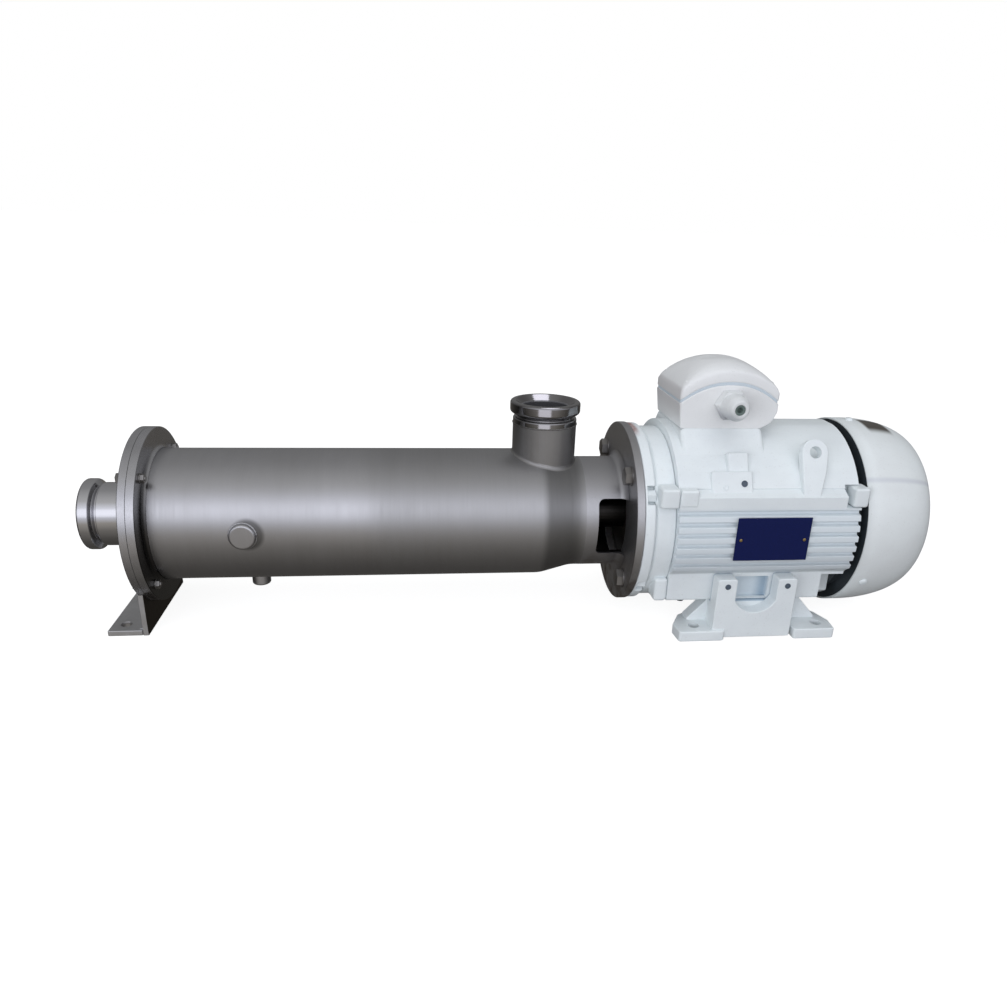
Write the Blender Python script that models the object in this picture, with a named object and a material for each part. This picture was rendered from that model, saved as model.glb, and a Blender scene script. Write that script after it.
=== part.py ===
"""Progressive cavity pump, close coupled to a finned electric motor.

The pump is a stainless steel tube with a helical rotor in a rubber stator. It
discharges at its left end and takes its product in through a branch on top.
A lantern joins it to a foot and flange mounted motor with a terminal box.

Metres, +Z up. The shaft runs along X, and the motor is at +X. The origin is
on the floor, under the middle of the whole machine.
"""
import math

import bmesh
import bpy
from mathutils import Matrix, Vector

# Driving dimensions
SHAFT_HEIGHT = 0.112
OVERALL_LENGTH = 0.900
GAP = 0.0003
SEGMENTS = 48

# Stations along the shaft, measured from the discharge face
COVER_START = 0.0592
COVER_JOINT = 0.0673
CASING_FLANGE_END = 0.0757
BOSS_STATION = 0.170
CASING_JOINT = 0.299
REDUCER_START = 0.4685
INLET_STATION = 0.482
REDUCER_END = 0.5125
WINDOW_START = 0.536
LANTERN_FLANGE_START = 0.5673
MOTOR_FACE = 0.5763
MOTOR_FLANGE_END = 0.588
HOUSING_START = 0.610
SHELL_END = 0.805
HOUSING_END = 0.8065
LUG_POCKET_START = 0.7895
RAIL_END = 0.781
COWL_START = 0.814

# Pump radii
PIPE_WALL = 0.003
CASING_RADIUS = 0.06985
END_FLANGE_RADIUS = 0.0923
LANTERN_RADIUS = 0.061
LANTERN_WALL = 0.008
LANTERN_FLANGE_RADIUS = 0.100
WINDOW_HALF_HEIGHT = 0.0315
BRANCH_RADIUS = 0.0343
UNION_RADIUS = 0.039
UNION_BORE = 0.025
INLET_HEIGHT = 0.1253
BOSS_RADIUS = 0.0136
DRAIN_RADIUS = 0.010

# Rotor and stator: a round rotor section on a helix, in a twin helix bore
ROTOR_RADIUS = 0.022
ECCENTRICITY = 0.008
ROTOR_PITCH = 0.160
ROTOR_CLEARANCE = 0.0012
HELIX_STEPS = 20

# Pump foot
FOOT_WIDTH = 0.131
FOOT_REACH = 0.041
FOOT_SETBACK = 0.0171
FOOT_PLATE = 0.006
FOOT_BOLT_RADIUS = 0.0055

# Motor, frame size 112
MOTOR_FLANGE_RADIUS = 0.099
SHIELD_RADIUS = 0.0955
FIN_RADIUS = 0.1045
FIN_DEPTH = 0.007
FIN_PITCH = 0.0113
GROOVE_WIDTH = 0.0052
GROOVE_COUNT = 6
TOP_GROOVE_HEIGHT = 0.0305
PLATFORM_HEIGHT = 0.1052
PLATFORM_HALF_WIDTH = 0.044
COWL_RADIUS = 0.106
COWL_WALL = 0.0018
COWL_FLAT_RADIUS = 0.071
COWL_BEND_START = 0.830
HOLE_SPACING_ALONG = 0.140
HOLE_SPACING_ACROSS = 0.190
MOTOR_LUG_MIDDLE = 0.7055
MOTOR_PAD_MIDDLE = 0.7113
MOTOR_PAD_HALF_LENGTH = 0.0855
MOTOR_FOOT_OUTSIDE = 0.110
MOTOR_PAD_THICKNESS = 0.012
MOTOR_HOLE_RADIUS = 0.006
WEB_TOP = 0.037
RAIL_FACE = 0.089
RAIL_TOP = -0.041
RAIL_BOTTOM = -0.073
SHAFT_RADIUS = 0.019
LEAN_ANGLE = 25

# Terminal box
BOX_START = 0.616
BOX_END = 0.7235
BOX_TAPER = 0.0035
BOX_HALF_WIDTH = 0.044
BOX_SIDE_HEIGHT = 0.132
BOX_ARCH_HEIGHT = 0.152
LID_SKIRT = 0.0125
LID_CROWN = 0.0225
GLAND_STATION = 0.670
GLAND_HEIGHT = 0.1322


def clear_scene():
    """Remove the objects that the file starts with."""
    for item in list(bpy.data.objects):
        bpy.data.objects.remove(item, do_unlink=True)


def along(station):
    """World X of a station measured from the discharge face."""
    return station - OVERALL_LENGTH / 2


def level(height):
    """World Z of a height measured from the shaft."""
    return height + SHAFT_HEIGHT


def finish_material(name, colour, metallic, roughness):
    """Make one Principled material."""
    material = bpy.data.materials.new(name)
    material.use_nodes = True
    shader = material.node_tree.nodes["Principled BSDF"]
    shader.inputs["Base Color"].default_value = (*colour, 1)
    shader.inputs["Metallic"].default_value = metallic
    shader.inputs["Roughness"].default_value = roughness
    return material


STEEL = ((0.36, 0.36, 0.37), 1.0, 0.35)
DARK_STEEL = ((0.20, 0.19, 0.18), 1.0, 0.45)
WHITE = ((0.78, 0.81, 0.85), 0.0, 0.4)
RUBBER = ((0.02, 0.02, 0.02), 0.0, 0.7)
BLACK = ((0.015, 0.015, 0.017), 0.0, 0.6)
NAVY = ((0.01, 0.02, 0.09), 0.0, 0.3)


def make_object(name, mesh_data, look, smooth=True):
    """Wrap a closed bmesh in a named object with faces pointing out."""
    bmesh.ops.recalc_face_normals(mesh_data, faces=mesh_data.faces)
    mesh = bpy.data.meshes.new(name)
    mesh_data.to_mesh(mesh)
    mesh_data.free()
    if smooth:
        mesh.shade_smooth()
        mesh.set_sharp_from_angle(angle=math.radians(32))
    mesh.materials.append(finish_material(name + "_finish", *look))
    item = bpy.data.objects.new(name, mesh)
    bpy.context.scene.collection.objects.link(item)
    return item


def turned(name, outline, look, place=None, segments=SEGMENTS):
    """Spin a closed outline of (distance, radius) points around local X.

    Without a place, distance is a station on the shaft.
    """
    shape = bmesh.new()
    rings = []
    for distance, radius in outline:
        count = segments if radius > 0 else 1
        ring = []
        for index in range(count):
            angle = math.tau * index / segments
            spot = (distance, radius * math.cos(angle), radius * math.sin(angle))
            ring.append(shape.verts.new(spot))
        rings.append(ring)
    for first, second in zip(rings, rings[1:] + rings[:1]):
        if len(first) == 1 and len(second) == 1:
            continue
        for index in range(segments):
            after = (index + 1) % segments
            if len(first) == 1:
                shape.faces.new((first[0], second[after], second[index]))
            elif len(second) == 1:
                shape.faces.new((first[index], first[after], second[0]))
            else:
                shape.faces.new((first[index], first[after], second[after], second[index]))
    item = make_object(name, shape, look)
    item.matrix_world = place or Matrix.Translation((along(0), 0, SHAFT_HEIGHT))
    return item


def pointing(direction, spot):
    """Placement that sends local X to the given direction at the given spot."""
    turn = Vector((1, 0, 0)).rotation_difference(Vector(direction)).to_matrix().to_4x4()
    return Matrix.Translation(spot) @ turn


def prism(name, outline, low, high, axis, look, smooth=False):
    """Extrude a closed outline along X, Y or Z between two world coordinates."""
    shape = bmesh.new()
    ends = []
    for depth in (low, high):
        ring = []
        for first, second in outline:
            spot = {"X": (depth, first, second), "Y": (first, depth, second),
                    "Z": (first, second, depth)}[axis]
            ring.append(shape.verts.new(spot))
        ends.append(ring)
    count = len(outline)
    for index in range(count):
        after = (index + 1) % count
        shape.faces.new((ends[0][index], ends[0][after], ends[1][after], ends[1][index]))
    shape.faces.new(ends[0])
    shape.faces.new(ends[1])
    return make_object(name, shape, look, smooth)


def rectangle(left, right, bottom, top):
    """Corners of a rectangle, anticlockwise."""
    return [(left, bottom), (right, bottom), (right, top), (left, top)]


def block(name, size_x, size_y, size_z, look):
    """Box between pairs of world coordinates."""
    return prism(name, rectangle(*size_x, *size_y), *size_z, "Z", look)


def arc(centre, radius, start, end, steps):
    """Points on a circle from one angle to another, in degrees."""
    points = []
    for index in range(steps + 1):
        angle = math.radians(start + (end - start) * index / steps)
        points.append((centre[0] + radius * math.cos(angle), centre[1] + radius * math.sin(angle)))
    return points


def combine(target, tool, operation):
    """Apply a Boolean to the target and hide the tool."""
    modifier = target.modifiers.new(tool.name, "BOOLEAN")
    modifier.operation = operation
    modifier.object = tool
    tool.hide_render = True
    tool.display_type = "WIRE"


def cut(target, tool):
    """Take the tool's shape out of the target."""
    combine(target, tool, "DIFFERENCE")


def weld(target, tool):
    """Make the tool's shape part of the target."""
    combine(target, tool, "UNION")


def rod_tool(name, radius, start, end, segments=24):
    """Round tool between two points."""
    start = Vector(start)
    run = Vector(end) - start
    outline = [(0, 0), (0, radius), (run.length, radius), (run.length, 0)]
    return turned(name, outline, STEEL, pointing(run, start), segments)


def union_outline(length, hub_radius, bore):
    """Half section of a sanitary male union, from its open face inward.

    The outline starts at the face and ends at the weld, and has a rounded
    threaded ring, a groove behind it and a plain hub.
    """
    ring = 0.016
    groove = 0.006
    rounding = 0.005
    seat = 0.031
    outline = [(0.0, bore), (0.0, seat - 0.001), (0.003, seat), (0.003, seat + 0.0025),
               (0.0, seat + 0.0035)]
    outline += [(0.0, UNION_RADIUS - rounding), (rounding / 3, UNION_RADIUS - rounding / 3),
                (rounding, UNION_RADIUS)]
    outline += [(ring - rounding, UNION_RADIUS), (ring - rounding / 3, UNION_RADIUS - rounding / 3),
                (ring, UNION_RADIUS - rounding)]
    outline += [(ring, hub_radius - 0.003), (ring + groove, hub_radius - 0.003),
                (ring + groove, hub_radius), (length, hub_radius), (length, bore)]
    return outline


def build_discharge_end():
    """Discharge union, end cover, casing flange and the foot under them."""
    hub = COVER_START - GAP
    turned("discharge_union", union_outline(hub, 0.0345, UNION_BORE), STEEL)
    rim = END_FLANGE_RADIUS
    bevel = 0.001
    turned("end_cover", [(COVER_START, UNION_BORE), (COVER_START, rim - bevel),
                         (COVER_START + bevel, rim), (COVER_JOINT - bevel, rim),
                         (COVER_JOINT - GAP / 2, rim - bevel), (COVER_JOINT - GAP / 2, UNION_BORE)],
           STEEL)
    start = COVER_JOINT + GAP / 2
    bore = CASING_RADIUS + GAP
    turned("casing_flange", [(start, bore), (start, rim - bevel), (start + bevel, rim),
                             (CASING_FLANGE_END - bevel, rim), (CASING_FLANGE_END, rim - bevel),
                             (CASING_FLANGE_END, bore)], STEEL)
    build_pump_foot()


def build_pump_foot():
    """Angle bracket: a base plate on the floor and an upright under the flange."""
    half = FOOT_WIDTH / 2
    back = along(CASING_FLANGE_END) - FOOT_SETBACK
    front = back - FOOT_REACH + FOOT_PLATE
    base = block("pump_foot_base", (front, back - GAP), (-half, half), (0.0, FOOT_PLATE), STEEL)
    for side in (-1, 1):
        spot = ((front + back) / 2 - FOOT_PLATE / 2, side * (half - 0.015))
        cut(base, rod_tool(f"base_hole_tool_{side}", FOOT_BOLT_RADIUS,
                           (*spot, -0.01), (*spot, 0.02), 16))
    seat = END_FLANGE_RADIUS + GAP
    reach = math.degrees(math.asin(half / seat))
    outline = arc((0, SHAFT_HEIGHT), seat, 270 + reach, 270 - reach, 12)
    outline += [(-half, 0.0), (half, 0.0)]
    prism("pump_foot_upright", outline, back, back + FOOT_PLATE, "X", STEEL)


def stator_section(phase, radius):
    """Points of the twin helix bore at one section: a slot with round ends."""
    half_turn = SEGMENTS // 4
    points = []
    for end in (1, -1):
        for index in range(half_turn):
            angle = -math.pi / 2 + math.pi * index / (half_turn - 1)
            across = end * (2 * ECCENTRICITY + radius * math.cos(angle))
            upward = end * radius * math.sin(angle)
            points.append((across * math.cos(phase) - upward * math.sin(phase),
                           across * math.sin(phase) + upward * math.cos(phase)))
    return points


def helix_stations():
    """Stations along the rotor, with the slot's turn at each."""
    start = COVER_JOINT + GAP
    end = CASING_JOINT - 0.004
    for index in range(HELIX_STEPS + 1):
        station = start + (end - start) * index / HELIX_STEPS
        yield station, math.pi * (station - end) / ROTOR_PITCH + math.pi / 2


def bridge(shape, first, second):
    """Join two rings of the same number of points with quads."""
    count = len(first)
    for index in range(count):
        after = (index + 1) % count
        shape.faces.new((first[index], first[after], second[after], second[index]))


def build_rotor_and_stator():
    """Rubber stator that fills the casing, and the steel rotor inside it."""
    shape = bmesh.new()
    inner = []
    for station, phase in helix_stations():
        section = stator_section(phase, ROTOR_RADIUS + ROTOR_CLEARANCE)
        inner.append([shape.verts.new((along(station), y, level(z))) for y, z in section])
    outer_radius = CASING_RADIUS - PIPE_WALL - GAP
    outer = []
    for ring in (inner[0], inner[-1]):
        points = []
        for vertex in ring:
            away = Vector((0, vertex.co.y, vertex.co.z - SHAFT_HEIGHT)).normalized() * outer_radius
            points.append(shape.verts.new((vertex.co.x, away.y, level(away.z))))
        outer.append(points)
    for first, second in zip(inner, inner[1:]):
        bridge(shape, first, second)
    bridge(shape, inner[0], outer[0])
    bridge(shape, inner[-1], outer[1])
    bridge(shape, outer[0], outer[1])
    make_object("stator", shape, RUBBER)

    shape = bmesh.new()
    rings = []
    sides = 20
    for station, phase in helix_stations():
        swing = 2 * ECCENTRICITY * math.cos(phase)
        middle = (swing * math.cos(phase), swing * math.sin(phase))
        circle = arc(middle, ROTOR_RADIUS, 0, 360 - 360 / sides, sides - 1)
        rings.append([shape.verts.new((along(station), y, level(z))) for y, z in circle])
    for first, second in zip(rings, rings[1:]):
        bridge(shape, first, second)
    shape.faces.new(rings[0])
    shape.faces.new(rings[-1])
    make_object("rotor", shape, STEEL)


def build_casings():
    """Stator casing, suction casing with its reducer, inlet branch and plugs."""
    outer = CASING_RADIUS
    inner = CASING_RADIUS - PIPE_WALL
    start = COVER_JOINT + GAP / 2
    casing = turned("stator_casing", [(start, inner), (start, outer),
                                      (CASING_JOINT - GAP / 2, outer),
                                      (CASING_JOINT - GAP / 2, inner)], STEEL)
    neck = LANTERN_RADIUS
    start = CASING_JOINT + GAP / 2
    suction = turned("suction_casing", [(start, inner), (start, outer), (REDUCER_START, outer),
                                        (REDUCER_END, neck), (REDUCER_END, neck - PIPE_WALL),
                                        (REDUCER_START, inner)], STEEL)
    above = CASING_RADIUS + 0.030
    cut(suction, rod_tool("inlet_hole_tool", BRANCH_RADIUS - PIPE_WALL,
                          (along(INLET_STATION), 0, SHAFT_HEIGHT),
                          (along(INLET_STATION), 0, level(above)), 32))
    build_inlet(outer, neck)
    build_side_plugs(casing)


def build_inlet(outer, neck):
    """Branch tube with its foot shaped to the casing, and the union on it."""
    top = INLET_HEIGHT - 0.024
    low = 0.040
    tube = pointing((0, 0, 1), (along(INLET_STATION), 0, SHAFT_HEIGHT))
    branch = turned("inlet_branch", [(low, BRANCH_RADIUS - PIPE_WALL), (low, BRANCH_RADIUS),
                                     (top, BRANCH_RADIUS), (top, BRANCH_RADIUS - PIPE_WALL)],
                    STEEL, tube)
    clear = outer + GAP
    run_out = 0.1
    saddle = [(REDUCER_START - run_out, 0), (REDUCER_START - run_out, clear),
              (REDUCER_START, clear), (REDUCER_END, neck + GAP),
              (REDUCER_END + run_out, neck + GAP), (REDUCER_END + run_out, 0)]
    cut(branch, turned("branch_saddle_tool", saddle, STEEL, segments=SEGMENTS * 2))
    drop = pointing((0, 0, -1), (along(INLET_STATION), 0, level(INLET_HEIGHT)))
    length = INLET_HEIGHT - top - GAP
    turned("inlet_union", union_outline(length, BRANCH_RADIUS, UNION_BORE), STEEL, drop)


def build_side_plugs(casing):
    """Blind boss on the side of the casing and the drain stub under it."""
    saddle = turned("plug_saddle_tool", [(BOSS_STATION - 0.05, 0),
                                         (BOSS_STATION - 0.05, CASING_RADIUS + GAP),
                                         (BOSS_STATION + 0.05, CASING_RADIUS + GAP),
                                         (BOSS_STATION + 0.05, 0)],
                    STEEL, segments=SEGMENTS * 2)
    root = CASING_RADIUS - 0.006
    spot = (along(BOSS_STATION), 0, SHAFT_HEIGHT)
    for name, direction, radius, reach in (("side_boss", (0, -1, 0), BOSS_RADIUS, 0.0045),
                                           ("drain_stub", (0, 0, -1), DRAIN_RADIUS, 0.0135)):
        tip = CASING_RADIUS + reach
        edge = 0.0012
        outline = [(root, 0), (root, radius), (tip - edge, radius), (tip, radius - edge), (tip, 0)]
        cut(turned(name, outline, STEEL, pointing(direction, spot), 32), saddle)


def build_lantern():
    """Lantern with a window on each side, its flange, seal and shafts."""
    start = REDUCER_END + GAP
    end = LANTERN_FLANGE_START - GAP
    inner = LANTERN_RADIUS - LANTERN_WALL
    lantern = turned("lantern", [(start, inner), (start, LANTERN_RADIUS), (end, LANTERN_RADIUS),
                                 (end, inner)], STEEL)
    round_off = 0.006
    low = along(WINDOW_START)
    high = along(end) + 0.01
    half = WINDOW_HALF_HEIGHT
    window = arc((low + round_off, level(half - round_off)), round_off, 90, 180, 4)
    window += arc((low + round_off, level(round_off - half)), round_off, 180, 270, 4)
    window += [(high, level(-half)), (high, level(half))]
    cut(lantern, prism("window_tool", window, -0.08, 0.08, "Y", STEEL))

    rim = LANTERN_FLANGE_RADIUS
    bevel = 0.001
    face = MOTOR_FACE - GAP
    turned("lantern_flange", [(LANTERN_FLANGE_START, inner), (LANTERN_FLANGE_START, rim - bevel),
                              (LANTERN_FLANGE_START + bevel, rim), (face - bevel, rim),
                              (face, rim - bevel), (face, inner)], DARK_STEEL)

    seal_outer = inner - GAP
    sleeve = 0.030
    bore = SHAFT_RADIUS + GAP
    turned("seal_housing", [(start, bore), (start, seal_outer), (start + 0.012, seal_outer),
                            (start + 0.012, sleeve), (start + 0.030, sleeve),
                            (start + 0.030, bore)], DARK_STEEL)
    turned("drive_shaft", [(start - 0.010, 0), (start - 0.010, SHAFT_RADIUS),
                           (face, SHAFT_RADIUS), (face, 0)], STEEL, segments=32)
    joint = 0.020
    waist = 0.011
    first = CASING_JOINT - 0.004 + GAP
    last = start - 0.010 - GAP
    turned("coupling_rod", [(first, 0), (first, joint), (first + 0.030, joint),
                            (first + 0.036, waist), (last - 0.036, waist), (last - 0.030, joint),
                            (last, joint), (last, 0)], STEEL, segments=24)


def housing_half():
    """Right half of the housing section, from the top down, as (across, height)."""
    half = arc((0, 0), 0.1040, 84, 32, 7)
    half += [(0.0990, 0.0470), (0.0990, 0.0360)]
    for index in range(GROOVE_COUNT):
        middle = TOP_GROOVE_HEIGHT - FIN_PITCH * index
        for edge, depth in ((1, 0), (1, FIN_DEPTH), (-1, FIN_DEPTH), (-1, 0)):
            height = middle + edge * GROOVE_WIDTH / 2
            half.append((math.sqrt(FIN_RADIUS ** 2 - height ** 2) - depth, height))
    half += [(0.0985, -0.0335), (0.0940, -0.0365), (RAIL_FACE, RAIL_TOP)]
    half += [(RAIL_FACE, RAIL_BOTTOM + 0.002), (RAIL_FACE - 0.002, RAIL_BOTTOM)]
    half += [(0.0680, RAIL_BOTTOM)]
    half += arc((0, 0), 0.0980, -52, -84, 5)
    return half


def build_housing():
    """Finned stator housing, solid, one casting with its platform, pads and lugs."""
    half = housing_half()
    outline = half + [(-across, height) for across, height in reversed(half)]
    outline = [(across, level(height)) for across, height in outline]
    housing = prism("motor_housing", outline, along(HOUSING_START), along(HOUSING_END), "X", WHITE)
    beyond = along(HOUSING_END + 0.010)
    outside = 0.120
    wide = PLATFORM_HALF_WIDTH
    slope = [(-wide, PLATFORM_HEIGHT), (wide, PLATFORM_HEIGHT), (wide + 0.008, 0.083),
             (-wide - 0.008, 0.083)]
    slope = [(across, level(height)) for across, height in slope]
    weld(housing, prism("platform_tool", slope, along(BOX_START + BOX_TAPER),
                        along(BOX_END - 0.017), "X", WHITE))
    for side in (-1, 1):
        for name, stations, depth, rise in (("pad", (0.6445, 0.6885), 0.1055, (0.002, 0.0295)),
                                            ("step", (0.6635, 0.6860), 0.1020, (0.027, 0.0495))):
            tool = block(f"{name}_tool_{side}", [along(station) for station in stations],
                         sorted((side * 0.080, side * depth)), rise, WHITE)
            lean_over(tool, side)
            weld(housing, tool)
        weld(housing, block(f"screw_boss_tool_{side}",
                            (along(HOUSING_START), along(HOUSING_START + 0.0195)),
                            sorted((side * 0.078, side * 0.1000)),
                            (level(0.0375), level(0.0555)), WHITE))
        weld(housing, lifting_lug(side))
        cut(housing, block(f"lug_pocket_tool_{side}", (along(LUG_POCKET_START), beyond),
                           sorted((side * 0.078, side * outside)),
                           (level(0.0355), level(0.0575)), WHITE))
        cut(housing, block(f"rail_end_tool_{side}", (along(RAIL_END), beyond),
                           sorted((side * 0.060, side * outside)),
                           (level(RAIL_BOTTOM - 0.010), level(RAIL_TOP - 0.003)), WHITE))
    cut(housing, block("shell_end_tool", (along(SHELL_END), beyond), (-outside, outside),
                       (level(0.0510), level(outside)), WHITE))


def lean_over(tool, side):
    """Lean an upright tool, drawn around the shaft, inward over the housing."""
    lean = math.radians(side * LEAN_ANGLE)
    tool.matrix_world = (Matrix.Translation((0, 0, SHAFT_HEIGHT))
                         @ Matrix.Rotation(lean, 4, "X"))


def lifting_lug(side):
    """Lug that leans inward over the housing, with an eye near its top."""
    left = 0.7410
    eye_height = 0.0485
    round_end = 0.0145
    eye_radius = 0.0065
    middle = along(left + round_end)
    outline = arc((middle, eye_height), round_end, 0, 180, 10)
    outline += [(along(left + 0.0005), 0.001), (along(left + 0.0185), 0.001),
                (along(left + 0.0260), eye_height - 0.022)]
    lug = prism(f"lug_tool_{side}", outline, *sorted((side * 0.099, side * 0.109)), "Y", WHITE)
    hole = prism(f"lug_eye_tool_{side}", arc((middle, eye_height), eye_radius, 0, 337.5, 15),
                 -0.2, 0.2, "Y", WHITE)
    lean_over(lug, side)
    lean_over(hole, side)
    cut(lug, hole)
    return lug


def upper_lugs(shield, start, end, inside):
    """Weld the two upper bolt lugs on an end shield."""
    for side in (-1, 1):
        weld(shield, block(f"{shield.name}_upper_lug_{side}", (along(start), along(end)),
                           sorted((side * inside, side * 0.0995)),
                           (level(0.0360), level(0.0565)), WHITE))


def lower_lugs(shield, start, end):
    """Weld the two lower bolt lugs, which end the foot rails, on an end shield."""
    for side in (-1, 1):
        weld(shield, block(f"{shield.name}_lower_lug_{side}", (along(start), along(end)),
                           sorted((side * 0.065, side * RAIL_FACE)),
                           (level(RAIL_BOTTOM + 0.001), level(RAIL_TOP - 0.008)), WHITE))


def build_motor_ends():
    """Mounting flange, end shields, fan, fan shaft and fan cowl."""
    rim = MOTOR_FLANGE_RADIUS
    bevel = 0.0015
    end = MOTOR_FLANGE_END - GAP
    flange = turned("motor_flange", [(MOTOR_FACE, 0), (MOTOR_FACE, rim - bevel),
                                     (MOTOR_FACE + bevel, rim), (end - bevel, rim),
                                     (end, rim - bevel), (end, 0)], WHITE)
    half_notch = 0.0095
    behind_face = 0.0022
    for side in (-1, 1):
        for name, floor, height in (("upper", 0.0840, 0.0460), ("lower", 0.0705, -0.0600)):
            cut(flange, block(f"{name}_notch_tool_{side}",
                              (along(MOTOR_FACE + behind_face), along(HOUSING_START)),
                              sorted((side * floor, side * 0.120)),
                              (level(height - half_notch), level(height + half_notch)), WHITE))
    start = MOTOR_FLANGE_END
    end = HOUSING_START - GAP
    front = turned("drive_end_shield", [(start, 0), (start, SHIELD_RADIUS - 0.002),
                                        (start + 0.002, SHIELD_RADIUS), (end, SHIELD_RADIUS),
                                        (end, 0)], WHITE)
    upper_lugs(front, MOTOR_FLANGE_END + 0.002, end, 0.078)
    lower_lugs(front, MOTOR_FLANGE_END + 0.004, end)

    start = HOUSING_END + GAP
    middle = COWL_START + 0.0003
    end = middle + 0.006
    ring = COWL_RADIUS - COWL_WALL - GAP
    rear = turned("rear_end_shield", [(start, 0), (start, 0.090), (middle, 0.090), (middle, ring),
                                      (end, ring), (end, 0.060), (end + 0.006, 0.040),
                                      (end + 0.006, 0)], WHITE)
    upper_lugs(rear, LUG_POCKET_START + 0.0075, COWL_START - 0.001, 0.0785)
    build_fan(end + 0.006)
    build_cowl()


def build_fan(shield_face):
    """Radial fan on the rear end of the shaft."""
    start = shield_face + GAP
    hub = start + 0.006
    turned("fan_shaft", [(start, 0), (start, 0.012), (hub, 0.012), (hub, 0)], STEEL, segments=24)
    blades = 8
    root = 0.026
    tip = 0.080
    half_blade = 0.0015
    outline = []
    for index in range(blades):
        turn = math.tau * index / blades
        for radius, across in ((root, -half_blade), (tip, -half_blade), (tip, half_blade),
                               (root, half_blade)):
            outline.append((radius * math.cos(turn) - across * math.sin(turn),
                            level(radius * math.sin(turn) + across * math.cos(turn))))
    face = hub + GAP
    prism("fan", outline, along(face), along(face + 0.022), "X", BLACK)


def cowl_curve(shrink):
    """Side view of the cowl's rounded end, as (station, radius) points."""
    steps = 7
    end = OVERALL_LENGTH - shrink
    radius = COWL_RADIUS - shrink
    flat = COWL_FLAT_RADIUS - shrink / 2
    points = []
    for index in range(steps + 1):
        angle = math.pi / 2 * index / steps
        station = COWL_BEND_START + (end - COWL_BEND_START) * math.sin(angle) ** 1.1
        points.append((station, flat + (radius - flat) * math.cos(angle) ** 0.75))
    return points


def build_cowl():
    """Sheet steel fan cowl with a ring of air slots in its end."""
    outline = [(COWL_START, COWL_RADIUS)] + cowl_curve(0) + [(OVERALL_LENGTH, 0)]
    inside = [(COWL_START, COWL_RADIUS - COWL_WALL)] + cowl_curve(COWL_WALL)
    inside += [(OVERALL_LENGTH - COWL_WALL, 0)]
    cowl = turned("fan_cowl", outline + inside[::-1], WHITE)
    slots = 16
    for index in range(slots):
        turn = math.tau * (index + 0.5) / slots
        outline = []
        for radius, across in ((0.024, -0.003), (0.060, -0.0055), (0.060, 0.0055),
                               (0.024, 0.003)):
            outline.append((radius * math.cos(turn) - across * math.sin(turn),
                            level(radius * math.sin(turn) + across * math.cos(turn))))
        cut(cowl, prism(f"slot_tool_{index}", outline, along(OVERALL_LENGTH - 0.010),
                        along(OVERALL_LENGTH + 0.010), "X", WHITE))


def foot_block_outline():
    """Side view of a foot's middle, as (X, Z): two bolt lugs with a round valley."""
    middle = along(MOTOR_LUG_MIDDLE)
    outer = 0.0455
    inner = 0.0235
    top = 0.071
    brim = 0.046
    valley_radius = 0.0259
    clearance = 0.0025
    valley = arc((0, brim + 0.0109), valley_radius, 270 + 65, 270 - 65, 8)
    outline = [(-outer, clearance), (outer, clearance), (outer, top), (inner, top)]
    outline += valley + [(-inner, top), (-outer, top)]
    return [(middle + x, z) for x, z in outline]


def foot_web_outline():
    """Side view of the web behind the block, as (X, Z), sloping down to the pads."""
    middle = along(MOTOR_PAD_MIDDLE)
    half = MOTOR_PAD_HALF_LENGTH - 0.012
    side = [(half, 0.0025), (half, MOTOR_PAD_THICKNESS + 0.002), (half - 0.021, WEB_TOP)]
    outline = [(middle + x, z) for x, z in side]
    return outline + [(middle - x, z) for x, z in reversed(side)]


def build_motor_feet():
    """Two cast feet bolted against the rails of the housing."""
    middle = along(MOTOR_PAD_MIDDLE)
    half = MOTOR_PAD_HALF_LENGTH
    inner = RAIL_FACE + GAP
    outside = MOTOR_FOOT_OUTSIDE
    for name, side in (("motor_foot_near", -1), ("motor_foot_far", 1)):
        foot = prism(name, foot_block_outline(), *sorted((side * inner, side * (outside - 0.003))),
                     "Y", WHITE)
        weld(foot, prism(f"web_tool_{side}", foot_web_outline(),
                         *sorted((side * 0.066, side * 0.082)), "Y", WHITE))
        lug_reach = (along(MOTOR_LUG_MIDDLE) - 0.045, along(MOTOR_LUG_MIDDLE) + 0.045)
        weld(foot, block(f"link_tool_{side}", lug_reach, sorted((side * 0.081, side * 0.091)),
                         (0.003, WEB_TOP - 0.0005), WHITE))
        for end in (-1, 1):
            tip = half + (0.004 if end < 0 else 0)
            pad = [(0.039, outside), (tip, outside), (tip + 0.002, 0.090), (half - 0.006, 0.068),
                   (half - 0.019, 0.060), (0.039, 0.060)]
            pad = [(middle + end * x, side * y) for x, y in pad]
            weld(foot, prism(f"pad_tool_{side}_{end}", pad, 0.0, MOTOR_PAD_THICKNESS, "Z", WHITE))
            spot = (middle + end * HOLE_SPACING_ALONG / 2, side * HOLE_SPACING_ACROSS / 2)
            cut(foot, rod_tool(f"foot_hole_tool_{side}_{end}", MOTOR_HOLE_RADIUS, (*spot, -0.01),
                               (*spot, 0.03), 20))


def box_arch(steps):
    """Arched top edge of the terminal box, as (X, height above the shaft)."""
    points = []
    for index in range(steps + 1):
        share = index / steps
        rise = (BOX_ARCH_HEIGHT - BOX_SIDE_HEIGHT) * arch_share(share)
        points.append((along(BOX_START + (BOX_END - BOX_START) * share), BOX_SIDE_HEIGHT + rise))
    return points


def arch_share(share):
    """How far the arch has risen at a share of the box's length."""
    return 1 - abs(2 * share - 1) ** 2.2


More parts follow.
